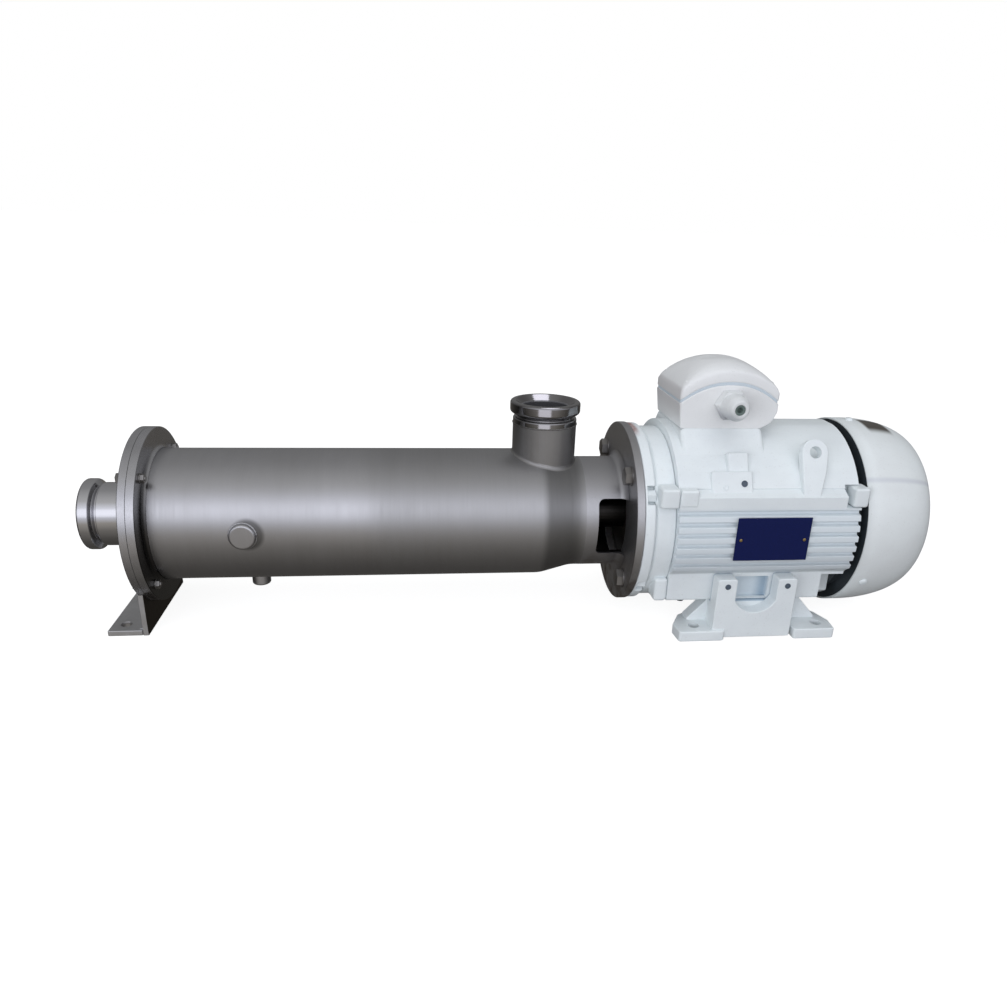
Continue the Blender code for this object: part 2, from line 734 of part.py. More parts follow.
def build_terminal_box():
    """Terminal box on the platform, its domed lid and its cable gland."""
    floor = PLATFORM_HEIGHT + GAP
    outline = [(along(BOX_START + BOX_TAPER), floor), (along(BOX_END - 0.017), floor),
               (along(BOX_END - 0.005), floor + 0.007), (along(BOX_END), floor + 0.016)]
    outline += box_arch(8)[::-1]
    outline = [(x, level(height)) for x, height in outline]
    prism("terminal_box", outline, -BOX_HALF_WIDTH, BOX_HALF_WIDTH, "Y", WHITE)
    build_lid()
    spot = (along(GLAND_STATION), -BOX_HALF_WIDTH - GAP, level(GLAND_HEIGHT))
    bore = 0.0045
    turned("cable_gland", [(0, 0), (0, 0.0168), (0.010, 0.0168), (0.013, 0.0145),
                           (0.023, 0.0140), (0.030, 0.0105), (0.030, bore), (0.014, bore),
                           (0.014, 0)], WHITE, pointing((0, -1, 0), spot), 24)


def lid_ring(inset, rise):
    """Ring of points on the lid, inset from its outline and raised by a height."""
    across = 8
    deep = 5
    corner = []
    for index in range(across):
        corner.append((index / across, 0.0))
    for index in range(deep):
        corner.append((1.0, index / deep))
    for index in range(across):
        corner.append((1 - index / across, 1.0))
    for index in range(deep):
        corner.append((0.0, 1 - index / deep))
    length = BOX_END - BOX_START
    points = []
    for share_x, share_y in corner:
        x = BOX_START + inset + (length - 2 * inset) * share_x
        y = (BOX_HALF_WIDTH - inset) * (2 * share_y - 1)
        arch = arch_share((x - BOX_START) / length)
        height = BOX_SIDE_HEIGHT + (BOX_ARCH_HEIGHT - BOX_SIDE_HEIGHT) * arch + GAP + rise
        points.append((along(x), y, level(height)))
    return points


def build_lid():
    """Domed lid: an arched underside, an upright skirt and a rounded crown."""
    steps = [(0.0, 0.0), (0.0, LID_SKIRT), (0.003, LID_SKIRT + 0.003),
             (0.010, LID_SKIRT + 0.006), (0.020, LID_CROWN - 0.0015), (0.030, LID_CROWN)]
    shape = bmesh.new()
    rings = []
    for inset, rise in steps:
        rings.append([shape.verts.new(spot) for spot in lid_ring(inset, rise)])
    for first, second in zip(rings, rings[1:]):
        bridge(shape, first, second)
    across = 8
    deep = 5
    for ring in (rings[0], rings[-1]):
        near = ring[:across + 1]
        far = ring[across + deep:2 * across + deep + 1][::-1]
        right = ring[across:across + deep + 1]
        left = [ring[0]] + ring[2 * across + deep:][::-1]
        for index in range(across):
            if index == 0:
                shape.faces.new(left + [far[1], near[1]])
            elif index == across - 1:
                shape.faces.new([near[index], far[index]] + right[::-1])
            else:
                shape.faces.new((near[index], far[index], far[index + 1], near[index + 1]))
    make_object("terminal_box_lid", shape, WHITE)


def build_nameplate():
    """Flat plate on the tips of the fins."""
    back = FIN_RADIUS + GAP
    block("nameplate", (along(0.671), along(0.751)), (-back - 0.001, -back),
          (level(-0.0195), level(0.0280)), NAVY)


clear_scene()
build_discharge_end()
build_rotor_and_stator()
build_casings()
build_lantern()
build_housing()
build_motor_ends()
build_motor_feet()
build_terminal_box()
build_nameplate()
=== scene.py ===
"""Looks of a progressive cavity pump with its motor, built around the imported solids."""
import math

import bmesh
import bpy
from mathutils import Euler, Matrix, Vector


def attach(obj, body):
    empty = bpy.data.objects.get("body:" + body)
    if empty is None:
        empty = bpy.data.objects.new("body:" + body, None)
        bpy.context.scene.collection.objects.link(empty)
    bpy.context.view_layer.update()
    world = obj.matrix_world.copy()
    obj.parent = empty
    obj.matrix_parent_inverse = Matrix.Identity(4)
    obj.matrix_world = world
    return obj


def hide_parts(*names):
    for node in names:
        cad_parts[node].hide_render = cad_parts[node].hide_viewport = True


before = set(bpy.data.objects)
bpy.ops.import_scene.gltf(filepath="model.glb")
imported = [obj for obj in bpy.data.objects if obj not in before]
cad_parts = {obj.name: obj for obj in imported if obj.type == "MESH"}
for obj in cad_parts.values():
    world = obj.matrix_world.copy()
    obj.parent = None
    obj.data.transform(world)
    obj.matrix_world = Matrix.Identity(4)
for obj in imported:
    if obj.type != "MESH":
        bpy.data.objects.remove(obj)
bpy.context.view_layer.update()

# Where things are, in metres, as in the part's source: stations are measured from the
# discharge face, and heights from the shaft line, which is SHAFT above the floor. GAP is
# the clearance between neighbouring pieces.
SHAFT = 0.112
LENGTH = 0.900
GAP = 0.0003
COVER_START = 0.0592
COVER_JOINT = 0.0673
CASING_FLANGE_END = 0.0757
BOSS_STATION = 0.170
CASING_JOINT = 0.299
REDUCER_START = 0.479
INLET_STATION = 0.482
REDUCER_END = 0.5125
REDUCER_BEND = 0.045
WINDOW_START = 0.536
LANTERN_FLANGE_START = 0.5673
MOTOR_FACE = 0.5763
MOTOR_FLANGE_END = 0.588
HOUSING_START = 0.610
SHELL_END = 0.805
HOUSING_END = 0.8065
LUG_POCKET_START = 0.7895
RAIL_END = 0.781
CUT_END = 0.820
COWL_START = 0.814
COWL_BEND_START = 0.830
CASING_RADIUS = 0.06985
END_FLANGE_RADIUS = 0.0923
COVER_BOLT_RADIUS = 0.0805
LANTERN_RADIUS = 0.061
LANTERN_WALL = 0.008
LANTERN_FLANGE_RADIUS = 0.100
LANTERN_BOLT_RADIUS = 0.0825
WINDOW_HALF_HEIGHT = 0.0315
TUBE_WALL = 0.003
BRANCH_RADIUS = 0.0343
UNION_RADIUS = 0.0377
UNION_BORE = 0.025
INLET_HEIGHT = 0.1253
BOSS_RADIUS = 0.0136
DRAIN_RADIUS = 0.010
FOOT_WIDTH = 0.131
FOOT_REACH = 0.041
FOOT_SETBACK = 0.0171
FOOT_PLATE = 0.006
FOOT_FACE = CASING_FLANGE_END - FOOT_SETBACK + FOOT_PLATE
MOTOR_FLANGE_RADIUS = 0.099
SHIELD_RADIUS = 0.0955
FIN_RADIUS = 0.1045
FIN_DEPTH = 0.005
FIN_PITCH = 0.0113
GROOVE_WIDTH = 0.0052
GROOVE_COUNT = 6
TOP_GROOVE_HEIGHT = 0.0305
PLATFORM_HEIGHT = 0.1052
PLATFORM_HALF_WIDTH = 0.044
COWL_RADIUS = 0.106
COWL_WALL = 0.0018
COWL_FLAT_RADIUS = 0.071
SLOT_START_RADIUS = 0.060
SLOT_END_RADIUS = 0.024
MOTOR_LUG_MIDDLE = 0.7025
MOTOR_PAD_MIDDLE = 0.7113
MOTOR_PAD_HALF_LENGTH = 0.0855
MOTOR_FOOT_OUTSIDE = 0.110
RAIL_FACE = 0.089
RAIL_TOP = -0.041
RAIL_BOTTOM = -0.073
LEAN_ANGLE = 25
BOX_START = 0.616
BOX_END = 0.7235
BOX_TAPER = 0.0035
BOX_HALF_WIDTH = 0.044
BOX_SIDE_HEIGHT = 0.132
BOX_ARCH_HEIGHT = 0.152
LID_SKIRT = 0.0125
LID_CROWN = 0.0225
GLAND_STATION = 0.670
GLAND_HEIGHT = 0.1322

SIDES = ((-1, "near"), (1, "far"))

# Thread size in millimetres of a bolt: width across the flats and height of its head
BOLT_HEADS = {5: (0.0085, 0.0036), 6: (0.010, 0.0042), 10: (0.017, 0.0068)}

# Room around the pump: angle up from the front, over the top and back, and its brightness
ROOM = ((-180, 0.16), (-150, 0.07), (-110, 0.07), (-80, 0.10), (-43, 0.20), (-14, 0.40),
        (5, 0.80), (10, 1.25), (18, 1.45), (32, 1.40), (38, 1.05), (60, 0.58), (110, 0.32),
        (160, 0.24), (180, 0.16))

# Tint of the room above an angle: white overhead, cool ahead, warm below
ROOM_TINTS = ((45, (1, 1, 1)), (0, (0.925, 0.94, 1.02)), (-181, (1.0, 0.94, 0.86)))


def along(station):
    """World X of a station measured from the discharge face."""
    return station - LENGTH / 2


def level(height):
    """World Z of a height measured from the shaft."""
    return height + SHAFT


def stations(first, last):
    """World X of two stations."""
    return along(first), along(last)


def heights(low, high):
    """World Z of two heights measured from the shaft."""
    return level(low), level(high)


def flank(side, inner, outer):
    """World Y of two depths on one side of the pump, the lower value first."""
    return sorted((side * inner, side * outer))


# Camera, floor and light

def placed(name, data):
    """New object in the scene."""
    item = bpy.data.objects.new(name, data)
    bpy.context.scene.collection.objects.link(item)
    return item


def place_camera():
    """Camera at the photograph's viewing angle."""
    lens = bpy.data.cameras.new("camera")
    lens.sensor_width = 36
    lens.lens = 28.4935
    lens.shift_x = -0.012928
    lens.shift_y = 0.036807
    lens.clip_start = 0.01
    camera = placed("camera", lens)
    camera.location = (-0.100, -0.83784, 0.41701)
    turn = [math.radians(angle) for angle in (67.9673, -1.8768, -6.4551)]
    camera.rotation_euler = Euler(turn, "XYZ")
    bpy.context.scene.camera = camera


def linear(code):
    """Linear RGBA of an sRGB hex colour."""
    parts = [int(code[i:i + 2], 16) / 255 for i in (1, 3, 5)]
    curve = [c / 12.92 if c <= 0.04045 else ((c + 0.055) / 1.055) ** 2.4 for c in parts]
    return (*curve, 1.0)


def add(tree, kind, inputs=None, **settings):
    """Add a shader node, set its properties, and fill or link its inputs."""
    item = tree.nodes.new("ShaderNode" + kind)
    for key, value in settings.items():
        setattr(item, key, value)
    for key, value in (inputs or {}).items():
        if isinstance(value, bpy.types.NodeSocket):
            tree.links.new(value, item.inputs[key])
        else:
            item.inputs[key].default_value = value
    return item


def stage_plane(name, size, height, colour, glow, seen_by):
    """Square sheet under the pump that only some kinds of ray meet."""
    shape = bmesh.new()
    corners = [(-size, -size), (size, -size), (size, size), (-size, size)]
    shape.faces.new([shape.verts.new((x, y, height)) for x, y in corners])
    mesh = bpy.data.meshes.new(name)
    shape.to_mesh(mesh)
    shape.free()
    finish = bpy.data.materials.new(name)
    finish.use_nodes = True
    shader = finish.node_tree.nodes["Principled BSDF"]
    shader.inputs["Base Color"].default_value = linear(colour)
    shader.inputs["Roughness"].default_value = 1.0
    shader.inputs["Specular IOR Level"].default_value = 0.0
    shader.inputs["Emission Color"].default_value = linear("#ffffff")
    shader.inputs["Emission Strength"].default_value = glow
    mesh.materials.append(finish)
    item = placed(name, mesh)
    for ray in ("camera", "diffuse", "glossy", "transmission", "shadow"):
        setattr(item, "visible_" + ray, ray in seen_by)


def soft_light(name, spot, target, size_x, size_y, energy, colour):
    """Rectangle of light at a spot, aimed at a target."""
    lamp = bpy.data.lights.new(name, "AREA")
    lamp.shape = "RECTANGLE"
    lamp.size = size_x
    lamp.size_y = size_y
    lamp.energy = energy
    lamp.color = linear(colour)[:3]
    item = placed(name, lamp)
    item.location = spot
    aim = Vector(target) - Vector(spot)
    item.rotation_euler = aim.to_track_quat("-Z", "Y").to_euler()
    return item


def fill_light(name, spot, size_x, size_y, energy, colour):
    """Soft light that lifts the paint but isn't mirrored in the steel."""
    item = soft_light(name, spot, (0, 0, SHAFT), size_x, size_y, energy, colour)
    item.visible_glossy = False


def strip_light(name, union, spot, size_x, size_y, energy):
    """Strip of light that only the polished inlet union mirrors."""
    target = (along(INLET_STATION), 0, 0.231)
    item = soft_light(name, spot, target, size_x, size_y, energy, "#f2f2ff")
    lit = bpy.data.collections.new("lit_by_" + name)
    lit.objects.link(union)
    item.light_linking.receiver_collection = lit
    item.light_linking.blocker_collection = bpy.data.collections.new("shades_" + name)


def build_room():
    """Room that the steel mirrors: a bright band before and above it, dark behind and below."""
    world = bpy.data.worlds.new("studio_room")
    world.use_nodes = True
    tree = world.node_tree
    way = add(tree, "SeparateXYZ", {0: add(tree, "TexCoord").outputs["Generated"]}).outputs
    ahead = add(tree, "Math", {0: way["Y"], 1: -1.0}, operation="MULTIPLY")
    turn = add(tree, "Math", {0: way["Z"], 1: ahead.outputs[0]}, operation="ARCTAN2")
    share = add(tree, "MapRange", {"Value": turn.outputs[0], "From Min": -math.pi,
                                   "From Max": math.pi})
    band = add(tree, "ValToRGB", {"Fac": share.outputs[0]})
    peak = max(glow for angle, glow in ROOM)
    stops = band.color_ramp.elements
    for angle, glow in ROOM:
        spot = (angle + 180) / 360
        stop = stops[-1] if spot == 1 else stops[0] if spot == 0 else stops.new(spot)
        tint = next(tint for limit, tint in ROOM_TINTS if angle > limit)
        stop.color = (*[glow / peak * part for part in tint], 1)
    sideways = add(tree, "Math", {0: way["X"]}, operation="ABSOLUTE")
    fade = add(tree, "MapRange", {"Value": sideways.outputs[0], "From Min": 0.45,
                                  "From Max": 0.95, "To Min": peak, "To Max": peak * 0.42})
    lit = add(tree, "VectorMath", {0: band.outputs["Color"], "Scale": fade.outputs[0]},
              operation="SCALE")
    path = add(tree, "LightPath")
    seen = add(tree, "Mix", {"Factor": path.outputs["Is Camera Ray"], 6: lit.outputs[0],
                             7: linear("#ffffff")}, data_type="RGBA")
    tree.links.new(seen.outputs[2], tree.nodes["Background"].inputs["Color"])
    bpy.context.scene.world = world


def build_studio():
    """Pale floor, the room, and two soft fill lights for the paint."""
    stage_plane("floor", 40.0, 0.0, "#a0a0a0", 0.90, ("camera",))
    stage_plane("bounce_card", 3.0, -0.001, "#a5a3a0", 0.0, ("diffuse",))
    fill_light("sky_fill", (0.0, -0.2, 2.4), 2.2, 1.6, 14, "#f3f9ff")
    fill_light("front_fill", (-1.3, -1.6, 0.35), 1.2, 0.9, 11.5, "#f6f9ff")
    build_room()
    bpy.context.scene.view_settings.view_transform = "Standard"


# Materials: each is named for what the real one is and how its surface was made, or for the painted
# shade it gives

def new_finish(name, metallic, roughness, colour):
    """Material with a plain shader, and the object's own place in real millimetres."""
    finish = bpy.data.materials.new(name)
    finish.use_nodes = True
    tree = finish.node_tree
    shader = tree.nodes["Principled BSDF"]
    shader.inputs["Metallic"].default_value = metallic
    shader.inputs["Roughness"].default_value = roughness
    shader.inputs["Base Color"].default_value = linear(colour)
    if not metallic:
        shader.inputs["IOR"].default_value = 1.5
    add(tree, "VectorMath", {0: add(tree, "TexCoord").outputs["Object"], 1: (1000, 1000, 1000)},
        operation="MULTIPLY", name="millimetres")
    return finish


def opened(finish):
    """Node tree, shader and place in millimetres of a material."""
    tree = finish.node_tree
    return tree, tree.nodes["Principled BSDF"], tree.nodes["millimetres"].outputs[0]


def grain(tree, mm, size, detail=3.0):
    """Pattern whose grain has the given size in millimetres on each axis."""
    squeezed = add(tree, "VectorMath", {0: mm, 1: [1 / length for length in size]},
                   operation="MULTIPLY")
    noise = add(tree, "TexNoise", {"Vector": squeezed.outputs[0], "Scale": 1.0,
                                   "Detail": detail, "Roughness": 0.6})
    return noise.outputs["Fac"]


def distance(tree, mm, centre, across):
    """Distance in millimetres from a line through a centre, measured across the line."""
    spot = add(tree, "VectorMath", {0: mm, 1: centre}, operation="SUBTRACT")
    flat = add(tree, "VectorMath", {0: spot.outputs[0], 1: across}, operation="MULTIPLY")
    return add(tree, "VectorMath", {0: flat.outputs[0]}, operation="LENGTH").outputs["Value"]


def zone(tree, *ramps, share=1.0):
    """Share that is full where each ramp's value has gone softly from its start to its end."""
    for value, start, end in ramps:
        ramp = add(tree, "MapRange", {"Value": value, "From Min": start, "From Max": end},
                   interpolation_type="SMOOTHSTEP")
        share = add(tree, "Math", {0: share, 1: ramp.outputs[0]}, operation="MULTIPLY").outputs[0]
    return share


def cover(shader, share, colour):
    """Lay a colour over what the shader's base colour holds, by a share."""
    tree = shader.id_data
    base = shader.inputs["Base Color"]
    below = base.links[0].from_socket if base.is_linked else base.default_value
    mix = add(tree, "Mix", {"Factor": share, 6: below, 7: linear(colour)}, data_type="RGBA")
    tree.links.new(mix.outputs[2], base)


def mottle(shader, pattern, colour, most=1.0, start=0.3, end=0.7):
    """Lay a colour over the base where a pattern is strong, up to a share."""
    share = add(shader.id_data, "MapRange", {"Value": pattern, "From Min": start,
                                             "From Max": end, "To Max": most})
    cover(shader, share.outputs[0], colour)


def texture(shader, matt, low, high, height, depth):
    """Let one pattern drive the roughness, and one stand out by a depth in metres.

    The roughness is returned, for a finish that changes it further.
    """
    tree = shader.id_data
    gloss = add(tree, "MapRange", {"Value": matt, "From Min": 0.3, "From Max": 0.7,
                                   "To Min": low, "To Max": high})
    tree.links.new(gloss.outputs[0], shader.inputs["Roughness"])
    relief = add(tree, "Bump", {"Height": height, "Distance": depth})
    tree.links.new(relief.outputs[0], shader.inputs["Normal"])
    return gloss.outputs[0]


def casing_tube(name, satin, dull, cone, boss_shadow):
    """Stainless tube brushed round and round: satin on the stator side, duller after the seam.

    Real brush lines are about 0.2 mm apart. They are drawn coarser, because finer ones don't
    show at this distance. The reducer is darker, and a shadow is painted right of the boss.
    """
    finish = new_finish(name, 1.0, 0.36, satin)
    tree, shader, mm = opened(finish)
    part = add(tree, "SeparateXYZ", {0: mm}).outputs
    after = zone(tree, (part["X"], -166.0, -134.0))
    cover(shader, after, dull)
    cover(shader, zone(tree, (part["X"], 24.0, 34.0), (part["X"], 76.0, 62.0)), cone)
    # Painted shadow: a dark crescent to the right of the boss, where its plug shades the tube
    boss = (along(BOSS_STATION) * 1000 + 4.5, 0, 113)
    around = distance(tree, mm, boss, (1, 0, 1))
    cover(shader, zone(tree, (around, 19.0, 13.5), (part["Y"], -70.4, -70.1), share=0.75), boss_shadow)
    mottle(shader, grain(tree, mm, (15, 90, 90)), "#a0a0a0", 0.16)
    mottle(shader, grain(tree, mm, (55, 45, 45)), "#898684", 0.08)
    rings = grain(tree, mm, (1.7, 60, 60), 4.0)
    gloss = texture(shader, rings, 0.29, 0.39, rings, 0.00003)
    duller = add(tree, "Math", {0: after, 1: 0.09, 2: gloss}, operation="MULTIPLY_ADD")
    tree.links.new(duller.outputs[0], shader.inputs["Roughness"])
    return finish


def brushed_tube(name, colour, shade, roughness, size, relief):
    """Stainless tube or seam brushed round and round: fine rings that soften the highlight."""
    finish = new_finish(name, 1.0, roughness, colour)
    tree, shader, mm = opened(finish)
    mottle(shader, grain(tree, mm, (55, 45, 45)), shade)
    mottle(shader, grain(tree, mm, (size * 9, 90, 90), 2.0), shade, 0.35)
    rings = grain(tree, mm, (size, 60, 60), 4.0)
    texture(shader, rings, roughness - 0.05, roughness + 0.07, rings, relief)
    return finish


def turned_steel(name, colour, roughness, axis):
    """Steel or brass turned on a lathe: reflections drawn out by fine tool lines."""
    finish = new_finish(name, 1.0, roughness, colour)
    tree, shader, mm = opened(finish)
    size = [40, 40, 40]
    size[axis] = 0.8
    lines = grain(tree, mm, size)
    texture(shader, lines, roughness - 0.03, roughness + 0.06, lines, 0.00004)
    return finish


def open_mouth(name, colour, roughness, bore):
    """Polished union on the branch, with painted shade deep in its bore, where it is also dull."""
    finish = turned_steel(name, colour, roughness, 2)
    tree, shader, mm = opened(finish)
    top = level(INLET_HEIGHT) * 1000
    radius = distance(tree, mm, (along(INLET_STATION) * 1000, 0, top), (1, 1, 0))
    depth = add(tree, "SeparateXYZ", {0: mm}).outputs["Z"]
    # Painted shade: the bore goes dark, and dull rather than metallic, below the mouth
    share = zone(tree, (radius, 26.8, 26.0), (depth, top - 5.0, top - 6.2))
    cover(shader, share, bore)
    metal = add(tree, "Math", {0: 1.0, 1: share}, operation="SUBTRACT")
    tree.links.new(metal.outputs[0], shader.inputs["Metallic"])
    return finish


def ground_plate(name, colour, shade, roughness, relief):
    """Stainless plate with a ground surface: even, a little cloudy and scuffed."""
    finish = new_finish(name, 1.0, roughness, colour)
    tree, shader, mm = opened(finish)
    mottle(shader, grain(tree, mm, (30, 30, 30)), shade)
    grit = grain(tree, mm, (1.2, 1.2, 9.0), 4.0)
    texture(shader, grit, roughness - 0.06, roughness + 0.08, grit, relief)
    return finish


def shaded_face(name, colour, shade, roughness, face, top, dark_reflection):
    """Ground plate, with a painted dark reflection past a station and below a height in millimetres.
    """
    finish = ground_plate(name, colour, shade, roughness, 0.00002)
    tree, shader, mm = opened(finish)
    part = add(tree, "SeparateXYZ", {0: mm}).outputs
    edge = along(face) * 1000
    # Painted dark reflection on the face past the station, strongest low down
    cover(shader, zone(tree, (part["X"], edge - 0.9, edge - 0.3), (part["Z"], top, top - 60)), dark_reflection)
    return finish


def stained_plate(name, colour, rust, roughness):
    """Dull blasted steel with brown tea staining low down, where water dries."""
    finish = new_finish(name, 1.0, roughness, colour)
    tree, shader, mm = opened(finish)
    height = add(tree, "SeparateXYZ", {0: mm}).outputs["Z"]
    low = add(tree, "MapRange", {"Value": height, "From Min": 95.0, "From Max": 20.0})
    clouds = grain(tree, mm, (16, 16, 22), 4.0)
    patches = add(tree, "MapRange", {"Value": clouds, "From Min": 0.42, "From Max": 0.62,
                                     "To Max": low.outputs[0]})
    cover(shader, patches.outputs[0], rust)
    pits = grain(tree, mm, (1.6, 1.6, 1.6), 5.0)
    texture(shader, pits, roughness - 0.06, roughness + 0.1, pits, 0.00010)
    return finish


def hollow_neck(name, colour, rust, roughness, inside):
    """Blasted lantern, with painted shade, near black, on its inner wall."""
    finish = stained_plate(name, colour, rust, roughness)
    tree, shader, mm = opened(finish)
    radius = distance(tree, mm, (0, 0, SHAFT * 1000), (0, 1, 1))
    # Painted shade: the inner wall, seen through the windows, goes near black
    cover(shader, zone(tree, (radius, 58.5, 57.0)), inside)
    return finish


def white_enamel(name, colour, shade):
    """Enamel sprayed over metal: satin gloss, orange peel, faint clouds and specks of dust."""
    finish = new_finish(name, 0.0, 0.36, colour)
    tree, shader, mm = opened(finish)
    clouds = grain(tree, mm, (45, 45, 35))
    mottle(shader, clouds, shade)
    mottle(shader, grain(tree, mm, (2.2, 2.2, 2.2), 4.0), "#a39d92", 0.25, 0.60, 0.80)
    peel = grain(tree, mm, (2.4, 2.4, 2.4), 2.0)
    texture(shader, clouds, 0.31, 0.44, peel, 0.00009)
    return finish


def shaded_enamel(name, colour, shade, mask, *tints):
    """Sprayed enamel with painted shade, stains or other marks where a mask says, each with its
    tint.

    Masks work in millimetres: along the pump, to the far side, and up from the shaft.
    """
    finish = white_enamel(name, colour, shade)
    tree, shader, mm = opened(finish)
    from_shaft = add(tree, "VectorMath", {0: mm, 1: (0, 0, -SHAFT * 1000)}).outputs[0]
    for share, tint in zip(mask(tree, from_shaft), tints):
        cover(shader, share, tint)
    return finish


def fin_and_pocket_shade(tree, mm):
    """Shares of painted shade between the fins, darker lower down, and in the rail pocket."""
    part = add(tree, "SeparateXYZ", {0: mm}).outputs
    depth = add(tree, "Math", {0: part["Y"]}, operation="ABSOLUTE").outputs[0]
    side = (depth, 88, 92)
    pocket = ((depth, 87, 84), (part["X"], 231, 234), (part["X"], 273.5, 270.5),
              (part["Z"], -36, -42))
    # Painted shade: bluish grey between the fins, greyer lower down, deeper in the rail pocket
    return (zone(tree, side, (part["Z"], -40, -34), (part["Z"], 37, 33)),
            zone(tree, side, (part["Z"], 0, -45), share=0.6),
            zone(tree, *pocket, share=0.5),
            zone(tree, *pocket, (part["X"], 256, 270), share=0.8))


def foot_shade(tree, mm):
    """Share of shade on the link behind the foot's valley."""
    part = add(tree, "SeparateXYZ", {0: mm}).outputs
    depth = add(tree, "Math", {0: part["Y"]}, operation="ABSOLUTE").outputs[0]
    return (zone(tree, (depth, 91.6, 90.4), (part["Z"], -75, -73)),)


def box_end_shade(tree, mm):
    """Share of painted shade on the end of the terminal box that faces the pump."""
    part = add(tree, "SeparateXYZ", {0: mm}).outputs
    return (zone(tree, (part["X"], 169.0, 166.6)),)


def flange_stain(tree, mm):
    """Shares of bare hub behind the seal, and of a rust stain on the rim's near upper edge."""
    part = add(tree, "SeparateXYZ", {0: mm}).outputs
    patches = add(tree, "MapRange", {"Value": grain(tree, mm, (5, 5, 5)), "From Min": 0.3,
                                     "From Max": 0.7, "To Min": 0.5})
    return (zone(tree, (distance(tree, mm, (0, 0, 0), (0, 1, 1)), 56, 53)),
            zone(tree, (part["Z"], 88, 97), (part["Y"], -34, -14), (part["X"], 134, 128),
                 share=patches.outputs[0]))


def gland_shade(tree, mm):
    """Share of painted shade on the underside of the cable gland, more towards the pump."""
    part = add(tree, "SeparateXYZ", {0: mm}).outputs
    return (zone(tree, (part["Z"], 134, 119), (part["X"], 230, 208)),)


def cowl_marks(tree, mm):
    """Shares of a faint darker band along the sheet, and of a plain dark patch on top."""
    part = add(tree, "SeparateXYZ", {0: mm}).outputs
    front = add(tree, "Math", {0: part["Y"], 1: -1.0}, operation="MULTIPLY").outputs[0]
    angle = add(tree, "Math", {0: part["Z"], 1: front}, operation="ARCTAN2").outputs[0]
    degrees = add(tree, "Math", {0: angle}, operation="DEGREES").outputs[0]
    return (zone(tree, (degrees, 33.4, 35.9), (degrees, 38.6, 36.1)),
            zone(tree, (degrees, 70, 78), (degrees, 93, 90), (part["X"], 386, 391),
                 (part["X"], 420, 414)))


def moulded(name, colour, shade, roughness, relief):
    """Moulded rubber or plastic: matt, with a fine spark-eroded grain."""
    finish = new_finish(name, 0.0, roughness, colour)
    tree, shader, mm = opened(finish)
    spark = grain(tree, mm, (0.9, 0.9, 0.9))
    mottle(shader, spark, shade)
    texture(shader, spark, roughness, roughness, spark, relief)
    return finish


def printed_plate(name, colour, shade):
    """Anodised sheet with a dark printed ground: an even colour, hardly glossy."""
    finish = moulded(name, colour, shade, 0.45, 0.00001)
    shader = opened(finish)[1]
    shader.inputs["Specular IOR Level"].default_value = 0.2
    return finish


# Colour and cloud colour of the enamel on the motor's castings
CAST_WHITE = ("#ecf2f3", "#e5ebed")

